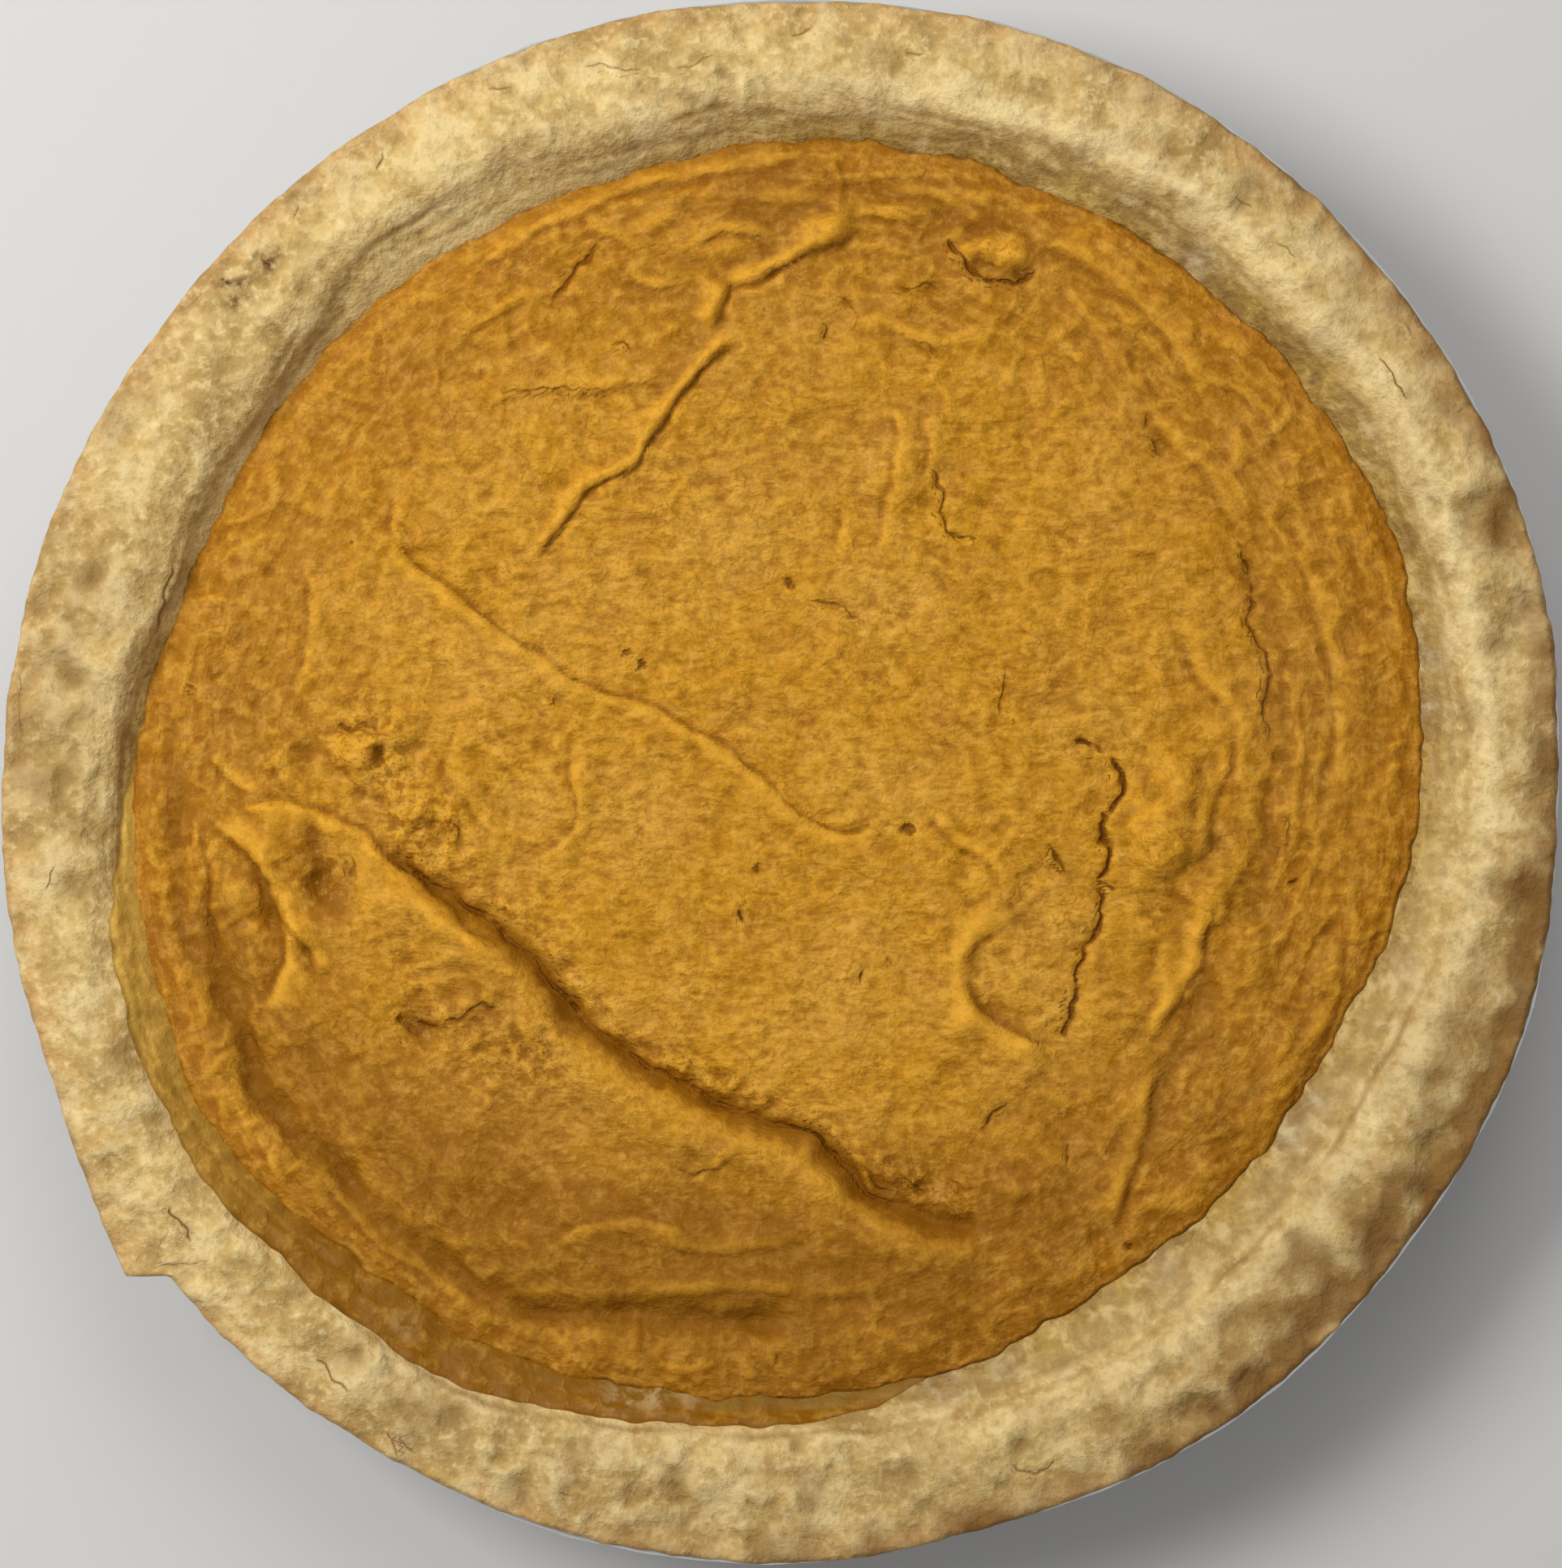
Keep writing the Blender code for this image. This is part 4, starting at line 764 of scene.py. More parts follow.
base = graph.coloured(SKIN_GOLD, [
    (SKIN_LIGHT, broad.clamp(0.44, 0.66) * 0.5),
    (SKIN_EDGE, inward.fall(2.0, 36.0) * 0.75),
    (SKIN_BROWN, (browning_and_shade + patches * 0.6 - 0.3).clamp(0.0, 1.0) * 0.85),
    (SKIN_ROSE, patches.clamp(0.50, 0.66) * 0.35),
    # Painted shade on the slopes of the long crease.
    (SKIN_LIP_SHADE, lip * 0.85),
    # Painted shade and painted highlight: the fine noises below darken the colour where they also lower the
    # bump, and lighten it where they raise it.
    (SKIN_BROWN, mottle.fall(0.36, 0.52) * calm * 0.28),
    (SKIN_LIGHT, mottle.clamp(0.52, 0.68) * calm * 0.28),
    (SKIN_BROWN, strokes.fall(0.36, 0.50) * calm * 0.45),
    (SKIN_LIGHT, strokes.clamp(0.52, 0.66) * calm * 0.3),
    # Painted highlight on the skin's high points and on its ridges.
    (SKIN_RIDGE_HIGHLIGHT, hollow.clamp(0.2, 2.4) * 0.5),
    (SKIN_RIDGE_HIGHLIGHT, ridge.clamp(0.2, 1.0) * 0.65),
    # Painted shade in the skin's hollows.
    (SKIN_DEEP, hollow.fall(-3.6, -0.4) * 0.65),
    # Painted shade in the creases between the pads.
    (SKIN_DEEP, pads.fall(0.0, 0.18) * patchy * calm * 0.45),
    (SKIN_DEEP, small_pads.fall(0.0, 0.22) * calm * 0.25),
    # Painted shade and painted highlight on the crumbs and specks, where their bump is low and high.
    (SKIN_BROWN, crumb.fall(0.36, 0.50) * (rubble * 0.5 + 0.3)),
    (SKIN_LIGHT, crumb.clamp(0.53, 0.66) * (rubble * 0.25 + 0.25) * (1.0 - lip * 0.8)),
    (SKIN_DEEP, speck.fall(0.28, 0.44) * (rubble * 0.5 + 0.3)),
    # Painted shade in the furrows beside the wrinkles.
    (SKIN_DEEP, furrow * 0.6),
    # Painted shade where the browning mark is strongest, most of all towards the bottom.
    (SKIN_SHADE, browning_and_shade.clamp(0.7, 1.9) * 0.5),
    # Painted shade in the pits and in the cracks, the crease's gap among them.
    (SKIN_CRACK_SHADE, pit * 0.75),
    (SKIN_CRACK_SHADE, cut)])
gloss = 0.66 - mottle.clamp(0.35, 0.7) * 0.14 - lip * 0.1
relief = mottle * 0.22 * calm + strokes * 0.34 * calm + crumb * 0.14 * calm + speck * 0.10
relief = relief + (pads * 0.10 * patchy + small_pads * 0.07) * calm
relief = relief - cut * 0.5 - furrow * 0.2 - pit * 0.5
graph.feed(shader, {
    "Base Color": base, "Roughness": gloss, "Normal": relief.bumps(0.001), "Specular IOR Level": 0.11})
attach(filling, "root")
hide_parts("sweet_potato_filling")


# The crust: one sheet of short dough that lines the pan, pressed down by hand on the pan's flange and baked
# to cream and tan. Its strip ends in a loose flap at the lower left, and its inner wall is damp with filling.
CRUST_ROUND = 1260
CRUST_ROWS = 66
CRUST_TOP = 35.6
CRUST_EDGE_HEIGHT = 33.2
CRUST_UNDERSIDE = 31.6
CRUST_BASE_TOP = 4.2
CRUST_BOTTOM = 0.8
CRUST_FOOT = (81.6, 6.4)
CRUST_BASE_RADIUS = 78.6
CRUST_GAP = 0.3
RIM_STATION = 5
FLAP_REACH = 5.6
FLAP_START = 198.0
FLAP_TIP = 216.8
FLAP_NOTCH = 218.7
FLAP_DROOP = 0.9
CRUST_EDGE = [
    (0, 121.7), (12, 123.2), (25, 123.7), (40, 124.1), (60, 124.6), (72, 124.3), (80, 123.6), (90, 122.9),
    (100, 122.9), (110, 122.4), (122, 121.9), (140, 121.4), (160, 122.1), (178, 122.6), (190, 123.4),
    (200, 123.5), (225, 123.6), (240, 122.5), (250, 122.6), (262, 122.5), (272, 122.4), (284, 121.3),
    (292, 121.5), (302, 122.1), (312, 122.3), (322, 121.8), (332, 122.2), (342, 122.8), (350, 122.2)]
CRUST_FOLD = [
    (0, 107.8), (12, 108.4), (24, 109.4), (36, 110.2), (41, 108.4), (47, 108.6), (56, 110), (66, 108.9),
    (80, 107.4), (94, 106.9), (99, 105.8), (106, 104.6), (113, 105.8), (119, 106.8), (130, 106),
    (138, 103.8), (145, 102.8), (153, 103.6), (161, 102.4), (166, 103.3), (172, 105.2), (180, 106.4),
    (189, 107.8), (196, 108.1), (203, 109.4), (212, 110.2), (222, 109.1), (230, 108.5), (239, 108.6),
    (247, 107), (255, 104.9), (265, 103.1), (275, 102.4), (285, 103.4), (305, 104.6), (325, 104.4),
    (335, 104.2), (345, 106.6)]
# The hidden outside, which lies on the pan: radius, height
CRUST_OUTSIDE = [
    (119.0, CRUST_UNDERSIDE), (111.4, CRUST_UNDERSIDE), (108.2, 29.2), (88.0, 2.6), (85.4, CRUST_BOTTOM)]
# Thumb dents and swells of the rim: azimuth, radius, height, reach
RIM_MARKS = [
    (10, 113, -0.8, 5), (24, 118, 0.7, 6), (38, 112, -0.6, 4.5), (52, 117, 0.6, 6), (70, 114, -0.7, 5.5),
    (84, 111, 0.8, 5), (98, 117, -0.8, 5), (113, 112, 0.6, 5.5), (126, 116, -0.6, 4.5),
    (138, 111, 0.7, 5), (152, 116, 0.5, 6), (163, 114, -1, 4.5), (171, 112, -1.2, 4.5),
    (179, 115, -0.9, 5), (190, 114, 0.6, 6), (203, 117, 0.6, 6), (214, 114, -0.5, 5), (226, 113, -1, 4.5),
    (234, 117, 0.6, 5), (241, 111, -0.9, 4), (252, 115, 0.7, 6), (262, 112, -1.1, 4.5),
    (270, 117, 0.5, 5), (279, 111, -1.1, 4.5), (289, 112, -0.9, 4.5), (300, 116, 0.7, 6),
    (314, 111, -0.7, 5), (327, 117, 0.6, 6), (341, 112, -0.8, 5), (354, 117, 0.6, 5.5)]
# Small dimples, where the rim's colour also gets painted shade: x, y, depth, reach
RIM_DIMPLES = [
    (-109, 33, -0.7, 2.6), (-111.7, 16.7, -0.7, 2.2), (-110.4, 11, -0.6, 2.2), (-113, 1.6, -0.8, 2.8),
    (-111.8, -16, -0.6, 2.2), (-67.2, -89.4, -0.8, 2.2), (-51.6, -99.2, -0.8, 2.2),
    (-17.1, -109.5, -0.7, 2), (20.1, -108.2, -0.7, 2), (37.7, -103.8, -0.7, 2.2), (102, -56.7, -0.9, 3),
    (114.1, -37.2, -0.7, 2.6), (80.8, -72, -0.6, 2.4), (92.4, -71, -0.6, 2.4), (75.5, -93.2, -0.6, 2.6),
    (70.3, -84.3, -0.6, 2.6), (101, -64, -0.5, 2.2), (116, -20, -0.6, 2.6), (-75, 84, -0.4, 2.4),
    (-88, 66, -0.4, 2.4), (-104, -42, -0.5, 2.4), (-98, -52, -0.5, 2.4), (-60, -98, -0.6, 2.2),
    (-33, -104, -0.6, 2.2), (4, -112, -0.5, 2.4), (52, -100, -0.6, 2.4), (108, 44, -0.6, 2.6),
    (112, 22, -0.6, 2.6)]
# Fine cracks of the rim: half width, depth, fade, route
RIM_CRACKS = [
    (0.3, 0.5, 1, [(1.3, 116.9), (3.2, 117.6), (4.7, 119.2)]),
    (0.3, 0.4, 1, [(18.9, 115.2), (20.2, 114.4), (22.3, 114.6)]),
    (0.3, 0.4, 1, [(-31.2, 112.3), (-28, 112.7), (-25, 111.9), (-22.1, 112.3)]),
    (0.3, 0.4, 1, [(-17, 112.3), (-14, 112.6), (-11.2, 114.6)]),
    (0.3, 0.4, 1, [(-46.5, 108.9), (-42.6, 109.5)]),
    (0.3, 0.5, 1, [(-63.9, 95.9), (-62.7, 99.3)]),
    (0.3, 0.4, 1, [(-76.9, 88.5), (-76.1, 90.8)]),
    (0.3, 0.4, 1, [(-107, 37.6), (-106.4, 38.6)]),
    (0.3, 0.5, 1, [(-115.4, -17.1), (-114.8, -14.3), (-114.2, -13.1)]),
    (0.3, 0.25, 2, [(-119.4, 18.6), (-119.8, 12.5), (-119.6, 6)]),
    (0.3, 0.4, 1, [(70.8, 91.9), (73.6, 90.1)]),
    (0.3, 0.4, 1, [(77.5, 85), (80.3, 82.7)]),
    (0.35, 0.6, 1, [(93.7, 67.1), (95.6, 64), (96.4, 62.4), (98, 60.3)]),
    (0.3, 0.4, 1, [(98, 72.5), (98.6, 70.3)]),
    (0.35, 0.6, 1, [(-73.4, -90.3), (-71, -91.8), (-70.6, -93.4), (-68.1, -95.1)]),
    (0.4, 0.7, 1, [(-96.1, -66.3), (-95.7, -68), (-93.6, -69.6), (-93, -72.2)]),
    (0.4, 0.3, 2, [(-99.5, -76.1), (-95.5, -75.6), (-92, -75.1), (-89.4, -74.5)]),
    (0.3, 0.25, 2, [(-98.8, -75.7), (-97.9, -72.6), (-96.4, -69.4)]),
    (0.3, 0.4, 1, [(-35.1, -111.4), (-32.8, -111.4)]),
    (0.3, 0.5, 1, [(35.7, -106.7), (39.6, -108.3), (43.1, -105.7)]),
    (0.3, 0.5, 1, [(-62.6, -101.6), (-61, -103.4), (-60.6, -105.6)]),
    (0.3, 0.5, 1, [(-60, -102), (-59.2, -104.2), (-58, -105.4)]),
    (0.4, 0.8, 3, [(-98.9, 23.5), (-97.8, 27.5), (-96.8, 31), (-95.6, 35.1)])]
# Toasted places of the rim, some of them painted shade on its left side: azimuth, radius, strength, reach
TOAST_AND_SHADE = [
    (-9, 118, 0.9, 7), (-16, 119, 0.9, 7), (-25, 117, 0.9, 7), (-33, 118, 1, 8), (-44, 118, 1, 9),
    (-52, 121, 1, 7), (-20, 110, 0.3, 9), (4, 121, 0.6, 5), (20, 118, 0.5, 5), (165, 113, 0.35, 9),
    (178, 117, 0.35, 8), (-57, 114, 0.4, 9), (-38, 112, 0.5, 7), (-48, 113, 0.4, 6), (-90, 115, 0.4, 9),
    (-75, 118, 0.4, 8), (30, 119, 0.4, 6), (52, 120, 0.4, 6), (172, 116, 0.4, 7), (183, 112, 0.3, 6),
    (-110, 118, 0.3, 8), (150, 119, 0.3, 7), (-66, 112, 0.35, 8), (-80, 110, 0.3, 8), (40, 119, 0.25, 8),
    (60, 116, 0.2, 8), (190, 120, 0.25, 6), (181, 121, 0.2, 6), (239, 120, 0.3, 6), (-100, 114, 0.3, 9),
    (-120, 113, 0.25, 8)]
# Damp greyish places and olive stains of the inner wall: x, y, strength, reach
DAMP_PATCHES = [
    (79.7, -55.3, 0.9, 3.2), (84, -50, 0.7, 2.4), (65, 82.4, 0.9, 2.8), (-28, 98.3, 0.9, 3),
    (25.5, -94.2, 0.9, 3.6), (34, -91.5, 0.7, 2.6), (-19, -96.2, 1, 3.4), (60, -76, 0.6, 2.6),
    (102, 20, 0.9, 2.4), (101.5, 12, 0.7, 2.2), (98, -28, 0.5, 3), (-94, 44, 0.5, 3)]
WALL_STAINS = [
    (86.1, 64.5, 1, 4), (46.5, 93.2, 0.9, 3.5), (104, 4, 0.5, 3), (70, -66, 0.9, 3.4), (-70, 78, 0.7, 4),
    (8, 102.5, 0.5, 3.5), (92, -44, 0.6, 3), (74, 76, 0.8, 3.4), (96, 46, 0.7, 3.4), (42, -88, 0.8, 3.4),
    (54, -80, 0.6, 3)]
# How much painted shade darkens the inner wall, and below 0 how much painted light brightens it: azimuth,
# share
WALL_SHADING = [
    (0, 0.35), (20, 0.7), (45, 0.9), (68, 0.7), (85, 0.1), (105, -0.4), (130, -0.6), (155, -0.5),
    (180, 0), (230, 0.3), (280, 0.6), (320, 0.7), (345, 0.4)]
# A dark scab at the upper left: x, y, strength, reach
SCAB = [(-84.8, 76.6, 1, 2.4), (-81.8, 81.5, 1, 2), (-87.6, 78.6, 0.7, 1.6), (-79.6, 83, 0.6, 1.4)]
# Lines pressed into the inner wall, which also get painted shade: share of the way up it, depth, seed
WALL_LINES = [(1.0, 0.9, 74), (0.72, 0.6, 75), (0.42, 0.7, 78)]
# Noises that add up: height, size, seed
RIM_WANDER = [(0.3, 2.2, 61), (0.5, 7.0, 62)]
FOLD_WANDER = [(0.5, 6.0, 63), (0.4, 3.0, 60)]
DOUGH_LUMPS = [(1.2, 4.2, 65), (0.5, 2.5, 68)]
# Noises that move a place: reach, size, seed for x, seed for y
DOUGH_TEAR = [(1.2, 3.0, 66, 67)]
DOUGH_JAG = [(0.8, 2.0, 69, 70)]


def flap_reach(azimuth):
    """How far the loose end of the dough stands out: a swell that grows as a power, then a sharp notch."""
    swell = held((azimuth - FLAP_START) / (FLAP_TIP - FLAP_START)) ** 1.6
    return FLAP_REACH * swell * held((FLAP_NOTCH - azimuth) / (FLAP_NOTCH - FLAP_TIP))


def profile_rows(count, stations):
    """Radius and height in rows at even steps of arc along a cubic profile through stations, each a pair of
    arrays over azimuth or of numbers. Also the share of the way at which each station lies."""
    r = np.array([radius for radius, _ in stations])
    z = np.array([np.broadcast_to(level, r[0].shape) for _, level in stations])
    steps = np.hypot(np.diff(r, axis=0), np.diff(z, axis=0)).mean(axis=1)
    travelled = np.concatenate(([0.0], np.cumsum(steps)))
    even = np.linspace(0.0, travelled[-1], count)
    i = np.clip(np.searchsorted(travelled, even, side="right") - 1, 0, len(steps) - 1)
    t = ((even - travelled[i]) / steps[i])[:, None]
    before = np.maximum(i - 1, 0)
    beyond = np.minimum(i + 2, len(stations) - 1)
    result = []
    for values in (r, z):
        a, b, c, d = values[before], values[i], values[i + 1], values[beyond]
        cubic = (2 * t**3 - 3 * t**2 + 1) * b + (t**3 - 2 * t**2 + t) * 0.5 * (c - a)
        result.append(cubic + (3 * t**2 - 2 * t**3) * c + (t**3 - t**2) * 0.5 * (d - b))
    return (*result, travelled / travelled[-1])


def from_azimuth(rows):
    """Rows of azimuth, radius and two more numbers, with the first two turned into x and y."""
    return [(far * np.cos(np.radians(turn)), far * np.sin(np.radians(turn)), *rest)
            for turn, far, *rest in rows]


azimuth = np.linspace(0.0, 360.0, CRUST_ROUND, endpoint=False)
angle = np.radians(azimuth)
around = (100.0 * np.cos(angle), 100.0 * np.sin(angle))
flap = flap_reach(azimuth)
rim_edge = ring_radius(azimuth, CRUST_EDGE) + flap + grains(*around, RIM_WANDER)
fold = ring_radius(azimuth, CRUST_FOLD) + grains(*around, FOLD_WANDER)
brim = filling_brim(azimuth) + CRUST_GAP
level = filling_level(azimuth)
width = rim_edge - fold
droop = FLAP_DROOP * flap / FLAP_REACH
# The profile from the filling's edge up the inner wall, over the fold and along the rim to its underside
stations = [
    (brim - 1.0, level - 1.3),
    (brim + 0.1, level + 0.1),
    (brim + 0.45 * (fold - brim), level + 0.34 * (CRUST_TOP - level)),
    (fold - 1.5, CRUST_TOP - 3.4),
    (fold + 0.1, CRUST_TOP - 1.8),
    (fold + 0.14 * width, CRUST_TOP - 0.6),
    (fold + 0.28 * width, CRUST_TOP),
    (fold + 0.46 * width, CRUST_TOP - 0.1),
    (fold + 0.66 * width, CRUST_TOP - 0.6 - 0.3 * droop),
    (fold + 0.84 * width, CRUST_TOP - 1.2 - 0.6 * droop),
    (rim_edge - 0.7, CRUST_EDGE_HEIGHT + 1.1 - droop),
    (rim_edge, CRUST_EDGE_HEIGHT - droop),
    (rim_edge - 0.5, CRUST_EDGE_HEIGHT - 0.9 - 0.8 * droop),
    (rim_edge - 1.3, CRUST_UNDERSIDE + 0.5 - 0.4 * droop)]
r, z, station_share = profile_rows(CRUST_ROWS, stations)
x = r * np.cos(angle)
y = r * np.sin(angle)

# The rim's relief: dents, dimples, torn lumps and cracks, which fade out towards the edge and the wall
wall_shading = ring_radius(azimuth, WALL_SHADING)
wall_line = brim + (0.66 + 0.3 * wall_shading) * (fold - brim) + 0.9 * grain(*around, 9.0, 79)
on_wall = held((wall_line - r) / 1.6)
on_top = held((z - (CRUST_EDGE_HEIGHT - 0.6)) / 1.6)
on_top = np.maximum(on_top, np.where(r < fold + 2.0, 0.75 * (1.0 - on_wall), 0.0))
dimples = bells(x, y, RIM_DIMPLES)
uneven = np.clip(0.55 + 1.3 * grain(x, y, 17.0, 77), 0.1, 1.2)
torn_x, torn_y = jostled(x, y, DOUGH_TEAR)
relief = bells(x, y, from_azimuth(RIM_MARKS)) + dimples
relief += 0.9 * grain(x, y, 11.0, 64) + 1.1 * grain(torn_x, torn_y, 7.5, 59)
relief += uneven * grains(torn_x, torn_y, DOUGH_LUMPS)
relief += uneven * 0.9 * (0.25 - np.abs(grain(torn_x, torn_y, 6.5, 73)))
jag_x, jag_y = jostled(x.ravel(), y.ravel(), DOUGH_JAG)
split = np.full(r.size, LINE_REACH)
split_depth = np.zeros(r.size)
cut = np.zeros(r.size)
for half_width, depth, fade_length, route in RIM_CRACKS:
    side, fade = offset_to_route(jag_x, jag_y, smooth_route(route, 1.0), fade_length)
    nearest_line(split, split_depth, side / 0.42, np.sqrt(fade) * min(1.0, 1.4 * depth))
    cut = np.maximum(cut, 0.5 * fade * bell(side / half_width) * depth)
relief -= cut.reshape(r.shape)
# The hollow mark: how far the rim stands above or sinks below its blurred relief, which the material paints
# as highlight and shade.
hollow = (relief - blurred(relief, 3)) / 0.22 + (relief - blurred(relief, 10)) / 0.7
seam = np.zeros_like(r)
for share_of_wall, depth, seed in WALL_LINES:
    line = brim + share_of_wall * (fold - brim) - 0.4 + 1.2 * grain(*around, 12.0, seed)
    strength = held(0.5 + 2.0 * grain(*around, 16.0, seed + 10))
    seam = np.maximum(seam, depth * strength * bell((r - line) / 0.5))
seam = seam * held((r - brim) / 1.2)
z = z + on_top * relief - 0.45 * seam + on_wall * 0.4 * grain(x, y, 6.0, 76) * held((r - brim) / 1.5)

points = np.column_stack((x.ravel(), y.ravel(), z.ravel()))
numbers = np.arange(r.size).reshape(r.shape)
faces = [ring_faces(numbers[row + 1], numbers[row]) for row in range(CRUST_ROWS - 1)]
points = closed_by_rings(points, faces, numbers[-1], angle, CRUST_OUTSIDE, CRUST_BOTTOM, True)
below = [(0.5 * (brim + CRUST_FOOT[0]), 0.5 * (level + CRUST_FOOT[1])), CRUST_FOOT,
         (CRUST_BASE_RADIUS, CRUST_BASE_TOP)]
points = closed_by_rings(points, faces, numbers[0], angle, below, CRUST_BASE_TOP, False)
toast_and_shade = bells(x, y, from_azimuth(TOAST_AND_SHADE))
# Painted shade: the outer part of the rim is darker on the right, where it slopes away from the light.
toast_and_shade += 0.75 * held((r - rim_edge + 6.5) / 5.0) * held(0.2 + np.cos(angle + 0.3))
toast_and_shade = np.clip(toast_and_shade * (0.75 + 1.2 * grain(x, y, 6.0, 71)), 0.0, 1.2)
marks = {
    "hollow": hollow, "toast_and_shade": toast_and_shade, "split": split, "split_depth": split_depth, "seam": seam,
    "wall": on_wall,
    "scab": held(bells(x, y, SCAB) * (0.7 + 1.6 * grain(x, y, 1.9, 72))),
    "dimple_shade": held(-1.3 * dimples),
    "damp": held((brim + 3.5 - r) / 3.0) * np.clip(1.0 + 1.4 * wall_shading, 0.2, 1.0),
    "outer": held((r - rim_edge + 6.0) / 6.0),
    "painted_wall_shade": on_wall * held(wall_shading),
    "painted_wall_light": on_wall * held(-wall_shading),
    # The crest mark is a painted highlight along the rim's inner edge, strongest on the right.
    "crest": bell((r - fold - 2.8) / 2.0) * held(0.35 + np.cos(angle - 0.3)),
    "patch": on_wall * bells(x, y, DAMP_PATCHES),
    "stain": on_wall * bells(x, y, WALL_STAINS)}
crust = mesh_piece("dough_crust", points, faces, extended(marks, len(points)))

DOUGH_CREAM = colour(212, 180, 112)
DOUGH_PALE = colour(242, 218, 158)
DOUGH_TAN = colour(176, 138, 76)
DOUGH_ROSE = colour(208, 156, 98)
DOUGH_OLIVE = colour(144, 114, 60)
DOUGH_TOAST_AND_SHADE = colour(122, 82, 30)
DOUGH_BROWN = colour(88, 54, 24)
DOUGH_SPLIT_SHADE = colour(132, 96, 52)
DOUGH_DAMP = colour(200, 165, 94)
DOUGH_LILAC = colour(166, 146, 116)
DOUGH_STAIN = colour(172, 134, 38)
graph, shader = new_material(crust, "baked_dough")
place = graph.place()
rumpled = place.warped(6.0, 3.0)
broad = place.noise(15.0, 4.0, 0.6)
blotch = rumpled.noise(8.0, 4.0, 0.55)
mottle = rumpled.noise(3.2, 3.0, 0.6)
flour_and_shading = place.noise(1.5, 3.0, 0.6)
speck = place.noise(0.6, 2.0, 0.6)
hollow, outer, wall, damp, painted_wall_shade = (graph.mark(name) for name in ("hollow", "outer", "wall", "damp", "painted_wall_shade"))
cut = graph.line("split", (place.noise(0.9, 2.0) - 0.5) * 0.9, 0.1, 0.5)
base = graph.coloured(DOUGH_CREAM, [
    (DOUGH_TAN, broad.fall(0.38, 0.60) * 0.6),
    (DOUGH_ROSE, outer * broad.clamp(0.35, 0.55) * 0.7),
    (DOUGH_PALE, blotch.clamp(0.50, 0.64) * 0.65),
    (DOUGH_OLIVE, blotch.fall(0.36, 0.49) * 0.5),
    # Painted highlight along the rim's inner edge.
    (DOUGH_PALE, graph.mark("crest") * 0.6),
    # Painted highlight and painted shade: the fine noises below lighten the colour where they raise the bump
    # and darken it where they lower it.
    (DOUGH_PALE, mottle.clamp(0.52, 0.66) * 0.25),
    (DOUGH_TAN, mottle.fall(0.34, 0.48) * 0.3),
    (DOUGH_PALE, flour_and_shading.clamp(0.53, 0.66) * 0.45),
    (DOUGH_OLIVE, flour_and_shading.fall(0.34, 0.47) * 0.35),
    # Painted highlight on the rim's bumps and painted shade in its hollows.
    (DOUGH_PALE, hollow.clamp(0.3, 4.0) * 0.6),
    (DOUGH_OLIVE, hollow.fall(-4.0, -0.4) * 0.7),
    # Painted shade in the dimples.
    (DOUGH_OLIVE, graph.mark("dimple_shade") * 0.7),
    (DOUGH_TOAST_AND_SHADE, outer.clamp(0.62, 1.0) * mottle.clamp(0.4, 0.7) * 0.6),
    # Toasting, with painted shade where the rim slopes away from the light.
    (DOUGH_TOAST_AND_SHADE, (graph.mark("toast_and_shade") + blotch * 0.7 - 0.35).clamp(0.0, 0.9) * 0.85),
    (DOUGH_DAMP, wall * 0.6),
    # Painted light on the shaded left part of the wall, and painted shade on its upper right.
    (DOUGH_PALE, graph.mark("painted_wall_light") * 0.6),
    (DOUGH_OLIVE, painted_wall_shade * (0.45 + blotch.clamp(0.4, 0.6) * 0.3)),
    (DOUGH_STAIN, damp * mottle.clamp(0.36, 0.54) * 0.7),
    (DOUGH_OLIVE, damp * blotch.fall(0.42, 0.58) * 0.6),
    (DOUGH_TOAST_AND_SHADE, damp * flour_and_shading.fall(0.38, 0.52) * 0.5),
    # Painted shade in the lines pressed into the wall.
    (DOUGH_TOAST_AND_SHADE, graph.mark("seam") * 0.55),
    (DOUGH_LILAC, graph.mark("patch") * mottle.clamp(0.36, 0.52) * 0.75),
    (DOUGH_STAIN, graph.mark("stain") * mottle.clamp(0.38, 0.56) * 0.8),
    # Painted highlight on the wall where the fine noise raises the bump.
    (DOUGH_PALE, mottle.clamp(0.50, 0.66) * wall * 0.35),
    # More painted shade where the fine noise lowers the bump.
    (DOUGH_TOAST_AND_SHADE, mottle.fall(0.34, 0.50) * painted_wall_shade * 0.45),
    (DOUGH_BROWN, graph.mark("scab") * flour_and_shading.fall(0.4, 0.7) * 1.2),
    # Painted shade in the rim's fine cracks.
    (DOUGH_SPLIT_SHADE, cut)])
relief = mottle * 0.5 + flour_and_shading * 0.42 + speck * 0.14 - cut * 0.2
graph.feed(shader, {
    "Base Color": base, "Roughness": 0.85 - wall * 0.25, "Normal": relief.bumps(0.001),
    "Specular IOR Level": 0.25})
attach(crust, "root")
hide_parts("pie_crust")


# The smear: a thin wet film of filling that has run up the crust's inner wall on the left and at the bottom.
# It is a shell that follows the wall's own points, thick in its middle and sunk under the dough at its edge.
SMEAR_FROM = 168.0
SMEAR_TO = 287.0
SMEAR_THICKNESS = 0.35
SMEAR_SUNK = 0.7
SHORE_WANDER = [(1.4, 14.0, 91), (0.45, 3.4, 93)]
